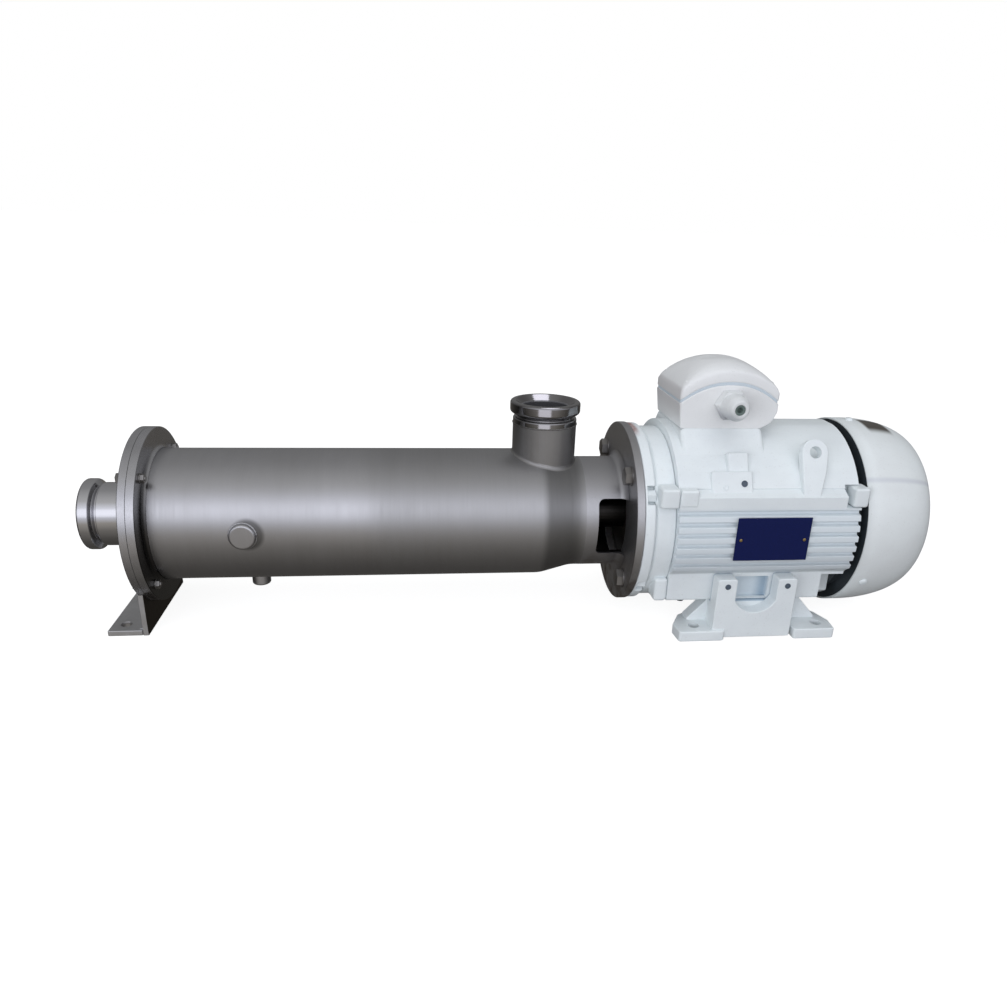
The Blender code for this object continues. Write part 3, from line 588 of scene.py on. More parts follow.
FINISHES = {
    # The casing tube's last colour is the painted shadow beside the side boss
    "casing_tube": casing_tube("stainless_brushed_casing", "#c2c2c5", "#b5b5b7", "#8b8b8c",
                               "#4a4a4a"),
    # The lantern's last colour is painted shade on its inner wall
    "cast_neck": hollow_neck("stainless_bead_blasted", "#bbbbbe", "#75665b", 0.42, "#1d1b1a"),
    "branch": brushed_tube("stainless_branch_tube", "#a8a7a7", "#9a9998", 0.42, 2.0, 0.00004),
    "turned_x": turned_steel("stainless_turned_union", "#cdcdd0", 0.09, 0),
    # The inlet union's last colour is painted shade deep in its bore
    "turned_z": open_mouth("stainless_turned_inlet", "#908f90", 0.11, "#4c4c4e"),
    # The last colours of the foot and the casing flange are painted dark reflections on their far
    # faces
    "foot_plate": shaded_face("stainless_folded_foot", "#d4d4d6", "#c4c4c5", 0.45, FOOT_FACE,
                               180.0, "#453c34"),
    "casing_flange": shaded_face("stainless_casing_flange", "#c8c8cc", "#bcbcbf", 0.27,
                                  CASING_FLANGE_END, 190.0, "#4c4b4b"),
    "lantern_flange": stained_plate("steel_blasted_flange", "#bcbcbe", "#6e6056", 0.42),
    "seal": stained_plate("steel_dark_seal", "#3a3836", "#2c231e", 0.45),
    "bright": turned_steel("steel_polished_shaft", "#b9b9ba", 0.15, 0),
    "greasy_shaft": turned_steel("steel_shaft_under_grease", "#3a3836", 0.40, 0),
    "bolt": turned_steel("steel_zinc_bolt", "#989694", 0.42, 0),
    "plate_rim": ground_plate("stainless_turned_flange", "#c8c8cc", "#bcbcbf", 0.27, 0.00001),
    "weld_dark": brushed_tube("stainless_weld_seam", "#939291", "#7f7d7a", 0.45, 3.0, 0.00010),
    "rivet": turned_steel("brass_rivet", "#b09a6a", 0.35, 1),
    "socket": moulded("recess_shadow", "#5a6672", "#465260", 0.5, 0.00002),
    "gland_seal": moulded("neoprene_gland_seal", "#6c7b76", "#5f6e69", 0.5, 0.00003),
    "weld": brushed_tube("stainless_weld_bead", "#cdcdd0", "#bababb", 0.42, 3.0, 0.00004),
    # A real gasket, coloured bluish grey as painted shade under the lid's lip
    "gasket": moulded("lid_gasket_in_painted_shade", "#d3dee6", "#cbd6de", 0.5, 0.00001),
    "rubber": moulded("nitrile_rubber", "#17181a", "#232427", 0.65, 0.00003),
    "fan": moulded("polypropylene_fan", "#191b1e", "#25282b", 0.5, 0.00003),
    # The fin paint's tints are painted shade between the fins, lower down and in the rail pocket
    "fin_paint": shaded_enamel("enamel_on_finned_housing", *CAST_WHITE, fin_and_pocket_shade, "#dde5e9",
                               "#b9bfc3", "#b9cbd8", "#8ea5b8"),
    "foot_paint": shaded_enamel("enamel_on_motor_feet", *CAST_WHITE, foot_shade, "#9fb2c1"),
    "flange_paint": shaded_enamel("enamel_on_motor_flange", *CAST_WHITE, flange_stain,
                                  "#241f1c", "#8c4a3f"),
    "cowl_paint": shaded_enamel("enamel_on_cowl_sheet", "#eaefef", "#e4e8e8", cowl_marks,
                                "#d6dade", "#4a453e"),
    "cast_paint": white_enamel("enamel_on_cast_aluminium", *CAST_WHITE),
    # The box paint's tint is painted shade on the box end that faces the pump
    "box_paint": shaded_enamel("enamel_on_terminal_box", "#f0f1f1", "#e9eaea", box_end_shade,
                               "#dedddd"),
    # The gland's tint is painted shade on its underside
    "gland": shaded_enamel("enamel_on_polyamide_gland", "#e8eaea", "#dfe1e1", gland_shade,
                           "#a3a5aa"),
    # Painted shadow: near black for the gap before the cowl and for the plugs under the rails
    "gap_shadow": moulded("painted_shadow_in_gap", "#23292e", "#2c3338", 0.6, 0.00003),
    "nameplate": printed_plate("aluminium_blue_print", "#0b1850", "#091445"),
}

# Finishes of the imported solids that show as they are
BARE_NODES = {
    "stator": "rubber",
    "rotor": "bright",
    "coupling_rod": "bright",
    "drive_shaft": "greasy_shaft",
    "fan_shaft": "bright",
    "fan": "fan",
}


def wear(mesh, finish):
    """Give a mesh one finish."""
    mesh.materials.clear()
    mesh.materials.append(FINISHES[finish])


def dress_bare_nodes():
    """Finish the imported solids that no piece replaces."""
    for name, finish in BARE_NODES.items():
        wear(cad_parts[name].data, finish)


# Making and placing pieces

def dress(piece, finish, nodes=()):
    """Give a new piece its finish and its body, in place of the named solids."""
    wear(piece.data, finish)
    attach(piece, "root")
    if nodes:
        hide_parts(*nodes)
    for name in nodes:
        wear(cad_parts[name].data, finish)
    return piece


def shade(mesh, sharp):
    """Shade a mesh smooth except at edges sharper than an angle in degrees."""
    mesh.shade_smooth()
    mesh.set_sharp_from_angle(angle=math.radians(sharp))


def smooth_piece(name, shape, sharp=38.0):
    """Object from a closed bmesh, shaded smooth except at its sharp edges."""
    bmesh.ops.recalc_face_normals(shape, faces=shape.faces)
    mesh = bpy.data.meshes.new(name)
    shape.to_mesh(mesh)
    shape.free()
    shade(mesh, sharp)
    return placed(name, mesh)


def even_normals(piece):
    """Let the large faces keep their own direction, so only the rounded edges bend light."""
    modifier = piece.modifiers.new("even_normals", "WEIGHTED_NORMAL")
    modifier.keep_sharp = True
    return piece


def rounded(points, radius, steps=4):
    """Closed outline with its corners rounded; a point may carry its own radius third."""
    outline = []
    count = len(points)
    for index in range(count):
        here = Vector(points[index][:2])
        reach = points[index][2] if len(points[index]) > 2 else radius
        before = Vector(points[index - 1][:2]) - here
        after = Vector(points[(index + 1) % count][:2]) - here
        half = before.angle(after) / 2
        if reach == 0 or half > math.radians(88):
            outline.append(tuple(here))
            continue
        run = min(reach / math.tan(half), 0.48 * before.length, 0.48 * after.length)
        bisector = (before.normalized() + after.normalized()).normalized()
        centre = here + bisector * (run / math.cos(half))
        start = here + before.normalized() * run - centre
        end = here + after.normalized() * run - centre
        sweep = math.pi - 2 * half
        for step in range(steps + 1):
            turn = sweep * step / steps
            spoke = (start * math.sin(sweep - turn) + end * math.sin(turn)) / math.sin(sweep)
            outline.append(tuple(centre + spoke))
    return outline


def shrunk(outline, inset):
    """Outline moved inward by a distance."""
    if inset == 0:
        return outline
    area = sum(a[0] * b[1] - b[0] * a[1] for a, b in zip(outline, outline[1:] + outline[:1]))
    side = 1 if area > 0 else -1
    points = []
    for index, spot in enumerate(outline):
        here = Vector(spot)
        before = (here - Vector(outline[index - 1])).normalized()
        after = (Vector(outline[(index + 1) % len(outline)]) - here).normalized()
        inward = Vector((-before.y - after.y, before.x + after.x)) * side
        if inward.length < 1e-9:
            points.append(spot)
            continue
        inward.normalize()
        lean = max(0.5, inward.dot(Vector((-after.y, after.x)) * side))
        points.append(tuple(here + inward * inset / lean))
    return points


def arc(centre, radius, start, end, steps):
    """Points on a circle from one angle to another, in degrees."""
    points = []
    for index in range(steps + 1):
        angle = math.radians(start + (end - start) * index / steps)
        points.append((centre[0] + radius * math.cos(angle), centre[1] + radius * math.sin(angle)))
    return points


def circle(centre, radius, count, first=0.0):
    """Evenly spaced points around a circle, from a first angle in degrees."""
    return arc(centre, radius, first, first + 360 * (count - 1) / count, count - 1)


def quadratic(start, control, end, share):
    """Vector on a curve that leaves its start and meets its end along the control point."""
    return start * (1 - share) ** 2 + control * 2 * share * (1 - share) + end * share * share


def skin(shape, rings, ends="open"):
    """Faces between rings of vertices, whose two ends stay open, are capped or are joined."""
    for first, second in zip(rings, rings[1:] + (rings[:1] if ends == "joined" else [])):
        for index in range(len(first)):
            after = (index + 1) % len(first)
            shape.faces.new((first[index], first[after], second[after], second[index]))
    if ends == "capped":
        shape.faces.new(rings[0])
        shape.faces.new(rings[-1])


def spin(outline, segments):
    """Closed bmesh of an outline of (distance, radius) points turned around local X."""
    shape = bmesh.new()
    rings = []
    for reach, radius in outline:
        count = segments if radius > 1e-6 else 1
        spots = circle((0, 0), radius, segments)[:count]
        rings.append([shape.verts.new((reach, y, z)) for y, z in spots])
    for first, second in zip(rings, rings[1:] + rings[:1]):
        if len(first) == 1 and len(second) == 1:
            continue
        for index in range(segments):
            after = (index + 1) % segments
            corners = [first[index % len(first)], first[after % len(first)],
                       second[after % len(second)], second[index % len(second)]]
            shape.faces.new(list(dict.fromkeys(corners)))
    return shape


SHAFT_LINE = Matrix.Translation((-LENGTH / 2, 0, SHAFT))


def pointing(direction, spot):
    """Placement that sends local X to a direction at a spot."""
    turn = Vector((1, 0, 0)).rotation_difference(Vector(direction)).to_matrix().to_4x4()
    return Matrix.Translation(spot) @ turn


def lathed(name, points, place, segments=32, radius=0.0, steps=3):
    """Object turned on a lathe around local X, with its corners rounded."""
    shape = spin(rounded(points, radius, steps), segments)
    shape.transform(place)
    return smooth_piece(name, shape)


def turned(name, points, finish, nodes=(), radius=0.0006, place=SHAFT_LINE, segments=128):
    """Turned piece with even normals, in place of the named solids if there are any."""
    return even_normals(dress(lathed(name, points, place, segments, radius, 4), finish, nodes))


def prism(name, outline, low, high, axis, edge=0.0):
    """Outline extruded between two world coordinates, with rounded ends."""
    shape = bmesh.new()
    sections = [(low, 0.0), (high, 0.0)]
    if edge:
        turns = [share * math.pi / 2 for share in (0.0, 0.3, 0.7, 1.0)]
        near = [(edge * (1 - math.sin(turn)), edge * (1 - math.cos(turn))) for turn in turns]
        sections = [(low + depth, inset) for depth, inset in reversed(near)]
        sections += [(high - depth, inset) for depth, inset in near]
    rings = []
    for depth, inset in sections:
        ring = []
        for first, second in shrunk(outline, inset):
            spot = {"X": (depth, first, second), "Y": (first, depth, second),
                    "Z": (first, second, depth)}[axis]
            ring.append(shape.verts.new(spot))
        rings.append(ring)
    skin(shape, rings, "capped")
    return smooth_piece(name, shape)


def block(name, size_x, size_y, size_z, edge=0.001):
    """Rounded box between pairs of world coordinates."""
    (left, right), (front, back) = size_x, size_y
    outline = [(left, front), (right, front), (right, back), (left, back)]
    return prism(name, rounded(outline, edge * 1.2, 3), *size_z, "Z", edge)


def carve(piece, tools, operation="DIFFERENCE"):
    """Cut the tools out of a piece, or join them to it, for good."""
    for tool in tools:
        modifier = piece.modifiers.new("carve", "BOOLEAN")
        modifier.operation = operation
        modifier.solver = "EXACT"
        modifier.object = tool
    bpy.context.view_layer.update()
    seen = piece.evaluated_get(bpy.context.evaluated_depsgraph_get())
    mesh = bpy.data.meshes.new_from_object(seen)
    piece.modifiers.clear()
    piece.data = mesh
    for tool in tools:
        bpy.data.objects.remove(tool, do_unlink=True)
    shade(mesh, 32)
    return piece


def soften(piece, radius, angle=32.0):
    """Round the sharp edges of a piece by a real radius."""
    modifier = piece.modifiers.new("soft_edges", "BEVEL")
    modifier.width = radius
    modifier.segments = 2
    modifier.limit_method = "ANGLE"
    modifier.angle_limit = math.radians(angle)
    return even_normals(piece)


def joined(first, others):
    """First object with the others' meshes added to its own."""
    whole = bmesh.new()
    for part in (first, *others):
        whole.from_mesh(part.data)
    whole.to_mesh(first.data)
    whole.free()
    shade(first.data, 28)
    for part in others:
        bpy.data.objects.remove(part, do_unlink=True)
    return first


# Bolts, welds and drilled holes

def hexagon(name, across_flats, length, place, chamfer=0.0008):
    """Hexagon head or nut along local X from its seat, with a turned chamfer on top."""
    corner = across_flats / math.sqrt(3)
    rings = [(0.0, 1.0), (length - chamfer, 1.0), (length - chamfer * 0.3, 0.965), (length, 0.90)]
    shape = bmesh.new()
    levels = [[shape.verts.new((reach, y, z)) for y, z in circle((0, 0), corner * share, 6)]
              for reach, share in rings]
    skin(shape, levels, "capped")
    shape.transform(place)
    return smooth_piece(name, shape, 25)


def hex_bolt(name, spot, direction, size, reach=0.0):
    """Hexagon head on a washer, pointing out of a face, with its thread end beyond."""
    flats, head = BOLT_HEADS[size]
    place = pointing(direction, spot)
    washer = 0.0011
    rim = flats * 0.62
    disc = [(0, 0), (0, rim), (washer, rim), (washer, 0)]
    others = [lathed(name + "_washer", disc, place, radius=0.0003, steps=2)]
    if reach:
        radius = size * 0.0005
        end = washer + head + reach
        thread = [(head * 0.5, 0), (head * 0.5, radius), (end, radius, 0.0006), (end, 0)]
        others.append(lathed(name + "_end", thread, place, 24, steps=2))
    top = hexagon(name, flats, head, place @ Matrix.Translation((washer, 0, 0)))
    dress(joined(top, others), "bolt")


def bolt_spots(station, radius):
    """Four spots on a bolt circle around the shaft, the near upper one first."""
    return [(along(station), -across, height)
            for across, height in circle((0, SHAFT), radius, 4, 45)]


def bead(name, path, radius, finish, sides=10):
    """Lumpy weld bead along a closed path of points."""
    shape = bmesh.new()
    rings = []
    for index, spot in enumerate(path):
        run = (path[(index + 1) % len(path)] - path[index - 1]).normalized()
        level_side = Vector((0, 0, 1)).cross(run)
        across = level_side if level_side.length > 0.01 else run.orthogonal()
        across = across.normalized()
        beside = run.cross(across)
        lump = 1 + 0.10 * math.sin(index * math.tau * 0.31) + 0.05 * math.sin(index * 1.7)
        rings.append([shape.verts.new(spot + across * x + beside * y)
                      for x, y in circle((0, 0), radius * lump, sides)])
    skin(shape, rings, "joined")
    dress(smooth_piece(name, shape, 180), finish)


def foot_drill(spot_x, spot_y, radius, top):
    """Upright tool that drills a foot."""
    shape = spin([(-0.01, 0), (-0.01, radius), (top, radius), (top, 0)], 48)
    shape.transform(pointing((0, 0, 1), (spot_x, spot_y, 0)))
    return smooth_piece("foot_drill", shape)


# Discharge end

def union_points(length, neck):
    """Half section of a union: a rounded ring with a tapered mouth and back, and a neck."""
    mouth = 0.0322
    ring = 0.0114
    taper = 0.0156
    waist = 0.0304
    groove = 0.0172
    throat = 0.0056
    return [(0.0, mouth, 0.0010), (0.0, UNION_RADIUS, 0.0046), (ring, UNION_RADIUS, 0.0034),
            (taper, waist, 0.0012), (groove, waist, 0.0006), (groove, neck, 0.0020),
            (length, neck, 0.0003), (length, UNION_BORE, 0), (throat + 0.0012, UNION_BORE, 0.0003),
            (throat, UNION_BORE + 0.0012, 0.0006)]


def make_discharge_end():
    """Union, cover, flange and the bolts through them."""
    neck = 0.0336
    turned("discharge_union_turned", union_points(COVER_START - GAP, neck), "turned_x",
           ["discharge_union"])
    rim = END_FLANGE_RADIUS
    end = COVER_JOINT - GAP / 2
    turned("end_cover_disc", [(COVER_START, UNION_BORE), (COVER_START, rim, 0.0012),
                              (end, rim, 0.0003), (end, UNION_BORE)],
           "plate_rim", ["end_cover"], 0.0009)
    start = COVER_JOINT + GAP / 2
    inside = CASING_RADIUS + GAP
    turned("casing_flange_disc", [(start, inside), (start, rim, 0.0003), (CASING_FLANGE_END, rim),
                                  (CASING_FLANGE_END, inside, 0)], "casing_flange",
           ["casing_flange"], 0.0009)
    weld = 0.004
    root = CASING_FLANGE_END - 0.001
    fillet = [(root, inside + 0.0001), (root, inside + weld)]
    fillet += arc((CASING_FLANGE_END + weld, inside + weld), weld, 180, 270, 8)
    turned("casing_flange_weld", fillet, "casing_flange", (), 0.0)
    hub = [(COVER_START - 0.0022, neck - 0.001), (COVER_START - 0.0022, neck + 0.0002),
           (COVER_START + 0.0004, neck + 0.0026), (COVER_START + 0.0004, neck - 0.001)]
    turned("discharge_union_weld", hub, "weld", (), 0.0012)
    front = COVER_JOINT - 0.00012
    back = COVER_JOINT + 0.00012
    turned("cover_gasket", [(front, 0.060), (front, rim - 0.0006), (back, rim - 0.0006),
                            (back, 0.060)], "weld_dark", (), 0.0)
    pairs = zip(bolt_spots(COVER_START, COVER_BOLT_RADIUS),
                bolt_spots(CASING_FLANGE_END, COVER_BOLT_RADIUS))
    for number, (screw, nut) in enumerate(pairs):
        hex_bolt(f"cover_screw_{number}", screw, (-1, 0, 0), 6)
        hex_bolt(f"cover_nut_{number}", nut, (1, 0, 0), 5, 0.0012)


def make_pump_foot():
    """Folded angle foot with a rounded inside corner, and its two holes."""
    half = FOOT_WIDTH / 2
    back = along(CASING_FLANGE_END) - FOOT_SETBACK
    front = back - FOOT_REACH + FOOT_PLATE
    base = block("pump_foot_base_plate", (front, back - GAP), (-half, half), (0.0, FOOT_PLATE),
                 0.0008)
    tools = [foot_drill((front + back - FOOT_PLATE) / 2, side * (half - 0.015), 0.0055, 0.02)
             for side in (-1, 1)]
    dress(soften(carve(base, tools), 0.0005), "foot_plate", ["pump_foot_base"])
    seat = END_FLANGE_RADIUS + GAP
    reach = math.degrees(math.asin(half / seat))
    outline = arc((0, SHAFT), seat, 270 + reach, 270 - reach, 64)
    outline += [(-half, 0.0), (half, 0.0)]
    upright = prism("pump_foot_upright_plate", outline, back, back + FOOT_PLATE, "X", 0.0007)
    dress(even_normals(upright), "foot_plate", ["pump_foot_upright"])
    corner = [(back - 0.0004, FOOT_PLATE - 0.0002), (back - 0.0045, FOOT_PLATE - 0.0002)]
    corner += arc((back - 0.0045, FOOT_PLATE + 0.0042), 0.0041, 270, 360, 6)
    weld = prism("pump_foot_weld", corner, -half + 0.004, half - 0.004, "Y")
    dress(even_normals(weld), "foot_plate")


# Pump tubes

def make_tubes():
    """Stator casing, suction casing with its reducer, boss, stub and weld seams."""
    outer = CASING_RADIUS
    inner = outer - TUBE_WALL
    start = COVER_JOINT + GAP / 2
    turned("stator_casing_tube", [(start, inner), (start, outer), (CASING_JOINT, outer, 0),
                                  (CASING_JOINT, inner)], "casing_tube", ["stator_casing"],
           0.0004, segments=192)
    neck = LANTERN_RADIUS
    end = REDUCER_END + 0.012
    tube = [(CASING_JOINT, inner), (CASING_JOINT, outer), (REDUCER_START, outer, REDUCER_BEND),
            (REDUCER_END, neck, REDUCER_BEND), (end, neck), (end, neck - TUBE_WALL),
            (REDUCER_END, neck - TUBE_WALL), (REDUCER_START, inner)]
    turned("suction_casing_tube", tube, "casing_tube", ["suction_casing"], 0.0, segments=192)
    root = outer - 0.004
    spot = (along(BOSS_STATION), 0, SHAFT)
    for node, direction, radius, reach, edge in (
            ("side_boss", (0, -1, 0), BOSS_RADIUS, 0.0045, 0.0028),
            ("drain_stub", (0, 0, -1), DRAIN_RADIUS, 0.0135, 0.0022)):
        tip = outer + reach
        turned(node + "_plug", [(root, 0, 0), (root, radius), (tip, radius), (tip, 0, 0)],
               "casing_tube", [node], edge, pointing(direction, spot), 64)
        path = []
        for station, beside in circle((BOSS_STATION, 0), radius + 0.0002, 72):
            out = math.sqrt(outer ** 2 - beside ** 2) + 0.0002
            across, height = (-out, beside) if direction[1] else (beside, -out)
            path.append(Vector((along(station), across, level(height))))
        bead(node + "_seam", path, 0.0009, "weld")


def casing_surface(station):
    """Outside radius of the suction casing at a station, with the reducer's two bends."""
    slope = (CASING_RADIUS - LANTERN_RADIUS) / (REDUCER_END - REDUCER_START)
    run = REDUCER_BEND * slope / 2
    share = (station - REDUCER_START) / (REDUCER_END - REDUCER_START)
    radius = CASING_RADIUS - (CASING_RADIUS - LANTERN_RADIUS) * min(1.0, max(0.0, share))
    for corner, way in ((REDUCER_START, -1), (REDUCER_END, 1)):
        near = run - abs(station - corner)
        if near > 0:
            radius += way * near ** 2 / (2 * REDUCER_BEND)
    return radius


def branch_fillet(reach):
    """Concave weld, ground smooth, where the branch meets the casing."""
    shape = bmesh.new()
    rings = []
    circles = [circle((INLET_STATION, 0), radius, 200)
               for radius in (BRANCH_RADIUS - 0.001, BRANCH_RADIUS, BRANCH_RADIUS + reach)]
    for spoke in zip(*circles):
        spots = []
        for station, across in spoke:
            height = math.sqrt(casing_surface(station) ** 2 - across ** 2)
            spots.append(Vector((along(station), across, level(height))))
        within, foot, out = spots
        out = out - Vector((0, 0, GAP))
        top = foot + Vector((0, 0, reach))
        path = [within - Vector((0, 0, 0.002)), top + (within - foot)]
        path += [quadratic(top, foot, out, step / 8) for step in range(9)]
        path.append(out - Vector((0, 0, 0.001)))
        rings.append([shape.verts.new(spot) for spot in path])
    skin(shape, rings, "joined")
    dress(smooth_piece("inlet_branch_weld", shape, 60), "branch")


def make_inlet():
    """Branch, the union on it, the welds at both ends of the branch, and the union's lights."""
    top = INLET_HEIGHT - 0.024
    bottom = 0.0475
    wall = BRANCH_RADIUS - TUBE_WALL
    place = pointing((0, 0, 1), (along(INLET_STATION), 0, SHAFT))
    turned("inlet_branch_tube", [(bottom, wall), (bottom, BRANCH_RADIUS),
                                 (top, BRANCH_RADIUS, 0.0008), (top, wall)],
           "branch", ["inlet_branch"], 0.0002, place)
    drop = pointing((0, 0, -1), (along(INLET_STATION), 0, level(INLET_HEIGHT)))
    union = turned("inlet_union_turned", union_points(INLET_HEIGHT - top - GAP, BRANCH_RADIUS),
                   "turned_z", ["inlet_union"], place=drop)
    branch_fillet(0.0032)
    seam = circle((along(INLET_STATION), 0), BRANCH_RADIUS - 0.0002, 160)
    path = [Vector((x, y, level(top))) for x, y in seam]
    bead("inlet_union_weld", path, 0.0009, "weld_dark", 8)
    strip_light("front_strip", union, (-0.100, -0.840, 0.045), 0.62, 0.36, 0.95)
    strip_light("mouth_strip", union, (0.209, -0.132, 1.408), 0.75, 0.60, 4.0)


def make_lantern():
    """Lantern with its windows, flare, flange and bolts, and the seal inside."""
    start = REDUCER_END + GAP
    end = LANTERN_FLANGE_START - GAP
    outer = LANTERN_RADIUS + 0.0001
    spigot = LANTERN_RADIUS - 0.0032
    inner = LANTERN_RADIUS - LANTERN_WALL
    step = start + 0.010
    flare = 0.008
    curve = [(*spot, 0) for spot in arc((end - flare, outer + flare), flare, -90, 0, 9)]
    lantern = turned("lantern_body", [(start, inner, 0), (start, spigot, 0), (step, spigot, 0),
                                      (step, outer, 0.0001), *curve, (end, inner)],
                     "cast_neck", ["lantern"], 0.0003, segments=160)
    low = along(WINDOW_START)
    high = along(end) + 0.01
    half = WINDOW_HALF_HEIGHT
    corner = 0.0065
    window = [(high, level(-half)), (high, level(half))]
    window += arc((low + corner, level(half - corner)), corner, 90, 180, 8)
    window += arc((low + corner, level(corner - half)), corner, 180, 270, 8)
    carve(lantern, [prism("window_tool", window, -0.08, 0.08, "Y")])
    soften(lantern, 0.0012, 40)
    rim = LANTERN_FLANGE_RADIUS
    face = MOTOR_FACE - GAP
    turned("lantern_flange_disc", [(LANTERN_FLANGE_START, inner), (LANTERN_FLANGE_START, rim),
                                   (face, rim), (face, inner)], "lantern_flange",
           ["lantern_flange"], 0.0010)
    for number, spot in enumerate(bolt_spots(LANTERN_FLANGE_START, LANTERN_BOLT_RADIUS)):
        hex_bolt(f"lantern_bolt_{number}", spot, (-1, 0, 0), 10)
    bore = 0.0193
    sleeve = 0.030
    seal = [(start, bore), (start, inner - GAP), (start + 0.012, inner - GAP),
            (start + 0.012, sleeve), (start + 0.030, sleeve), (start + 0.030, bore)]
    turned("seal_sleeve", seal, "seal", ["seal_housing"], 0.0010)


# Motor

def make_motor_flange():
    """Mounting flange with its four bolt notches and the hexagon heads in them."""
    rim = MOTOR_FLANGE_RADIUS
    end = MOTOR_FLANGE_END - GAP
    flange = turned("motor_flange_disc", [(MOTOR_FACE, 0, 0), (MOTOR_FACE, rim, 0.0012),
                                          (end, rim, 0.0025), (end, 0, 0)], "flange_paint",
                    ["motor_flange"], segments=160)
    tools = []
    nuts = []
    hub = Matrix.Translation((0, 0, SHAFT))
    for side, word in SIDES:
        for turn, place in ((28.4, "upper"), (-37.6, "lower")):
            out = hub @ Matrix.Rotation(math.radians(side * turn), 4, "X")
            tool = block("notch_tool", stations(MOTOR_FACE + 0.0022, HOUSING_START),
                         flank(side, 0.0895, 0.120), (-0.0100, 0.0100), 0.0)
            tool.data.transform(out)
            tools.append(tool)
            seat = out @ Matrix.Translation((along(MOTOR_FACE + 0.0020), side * 0.0915, 0))
            nuts.append(hexagon(f"flange_nut_{place}_{word}", 0.0118, 0.0098, seat))
    flange.modifiers.clear()
    carve(flange, tools)
    soften(flange, 0.0006)
    for nut in nuts:
        dress(nut, "cast_paint")


def housing_points():
    """Section of the finned housing, from the top down the right side, with radii."""
    half = [(*spot, 0) for spot in arc((0, 0), 0.1040, 84, 31.5, 20)]
    half += [(0.0878, 0.0532, 0.0012), (0.0990, 0.0478, 0.0012), (0.0990, 0.0360, 0.001)]
    for index in range(GROOVE_COUNT):
        middle = TOP_GROOVE_HEIGHT - FIN_PITCH * index
        for edge, depth, radius in ((1, 0, 0.0009), (0.62, FIN_DEPTH, 0.0011),
                                    (-0.62, FIN_DEPTH, 0.0011), (-1, 0, 0.0009)):
            height = middle + edge * GROOVE_WIDTH / 2
            half.append((math.sqrt(FIN_RADIUS ** 2 - height ** 2) - depth, height, radius))
    half += [(0.0985, -0.0335, 0.001), (0.0940, -0.0365, 0.002), (RAIL_FACE, RAIL_TOP, 0.002)]
    half += [(RAIL_FACE, RAIL_BOTTOM, 0.003), (0.0680, RAIL_BOTTOM, 0.002)]
    half += [(*spot, 0) for spot in arc((0, 0), 0.0980, -52, -84, 14)]
    return half


def leaning(tool, side):
    """Lean an upright tool, drawn around the shaft, inward over the housing."""
    lean = math.radians(side * LEAN_ANGLE)
    tool.data.transform(Matrix.Translation((0, 0, SHAFT)) @ Matrix.Rotation(lean, 4, "X"))
    return tool


def lifting_lug(side):
    """Lug that leans over the housing, with an eye near its top."""
    left = 0.7410
    eye = 0.0485
    end = 0.0145
    middle = along(left + end)
    outline = arc((middle, eye), end, 0, 180, 24)
    outline += [(along(left + 0.0005), 0.001), (along(left + 0.0185), 0.001),
                (along(left + 0.0260), eye - 0.022)]
    lug = prism("lifting_lug_tool", outline, *flank(side, 0.099, 0.109), "Y", 0.0016)
    hole = prism("lifting_eye_tool", arc((middle, eye), 0.0065, 0, 345, 23), -0.2, 0.2, "Y")
    return carve(leaning(lug, side), [leaning(hole, side)])


def make_housing():
    """Finned housing with its platform, pads, lugs and screw bosses."""
    half = housing_points()
    whole = half + [(-point[0], *point[1:]) for point in reversed(half)]
    outline = [(across, level(height)) for across, height in rounded(whole, 0, 3)]
    housing = prism("motor_housing_casting", outline, *stations(HOUSING_START, HOUSING_END),
                    "X", 0.0004)
    wide = PLATFORM_HALF_WIDTH
    top = level(PLATFORM_HEIGHT + 0.0010)
    foot = level(0.0800)
    slope = [(-wide, top), (wide, top), (wide + 0.021, foot), (-wide - 0.021, foot)]
    tools = [prism("platform_tool", slope, *stations(BOX_START + BOX_TAPER, BOX_END - 0.014),
                   "X", 0.0050)]
    cuts = [block("shell_end_tool", stations(SHELL_END, CUT_END), (-0.120, 0.120),
                  heights(0.0510, 0.120), 0.0)]
    for side in (-1, 1):
        for ends, depth, rise in (((0.6445, 0.6885), 0.1055, (0.002, 0.0295)),
                                  ((0.6635, 0.6860), 0.1020, (0.027, 0.0495))):
            tools.append(leaning(block("pad_tool", stations(*ends), flank(side, 0.080, depth),
                                       rise, 0.0018), side))
        tools.append(block("screw_boss_tool", stations(HOUSING_START, HOUSING_START + 0.0195),
                           flank(side, 0.078, 0.1000), heights(0.0375, 0.0555), 0.0024))
        tools.append(lifting_lug(side))
        cuts.append(block("rail_pocket_tool", stations(0.6830, 0.7220),
                          flank(side, RAIL_FACE - 0.007, 0.120),
                          heights(-0.0700, RAIL_TOP - 0.004), 0.0015))
        cuts.append(block("lug_pocket_tool", stations(LUG_POCKET_START, CUT_END),
                          flank(side, 0.078, 0.120), heights(0.0355, 0.0575), 0.0))
        cuts.append(block("rail_end_tool", stations(RAIL_END, CUT_END), flank(side, 0.060, 0.120),
                          heights(RAIL_BOTTOM - 0.010, RAIL_TOP - 0.003), 0.0))
    carve(housing, tools, "UNION")
    carve(housing, cuts)
    dress(even_normals(housing), "fin_paint", ["motor_housing"])


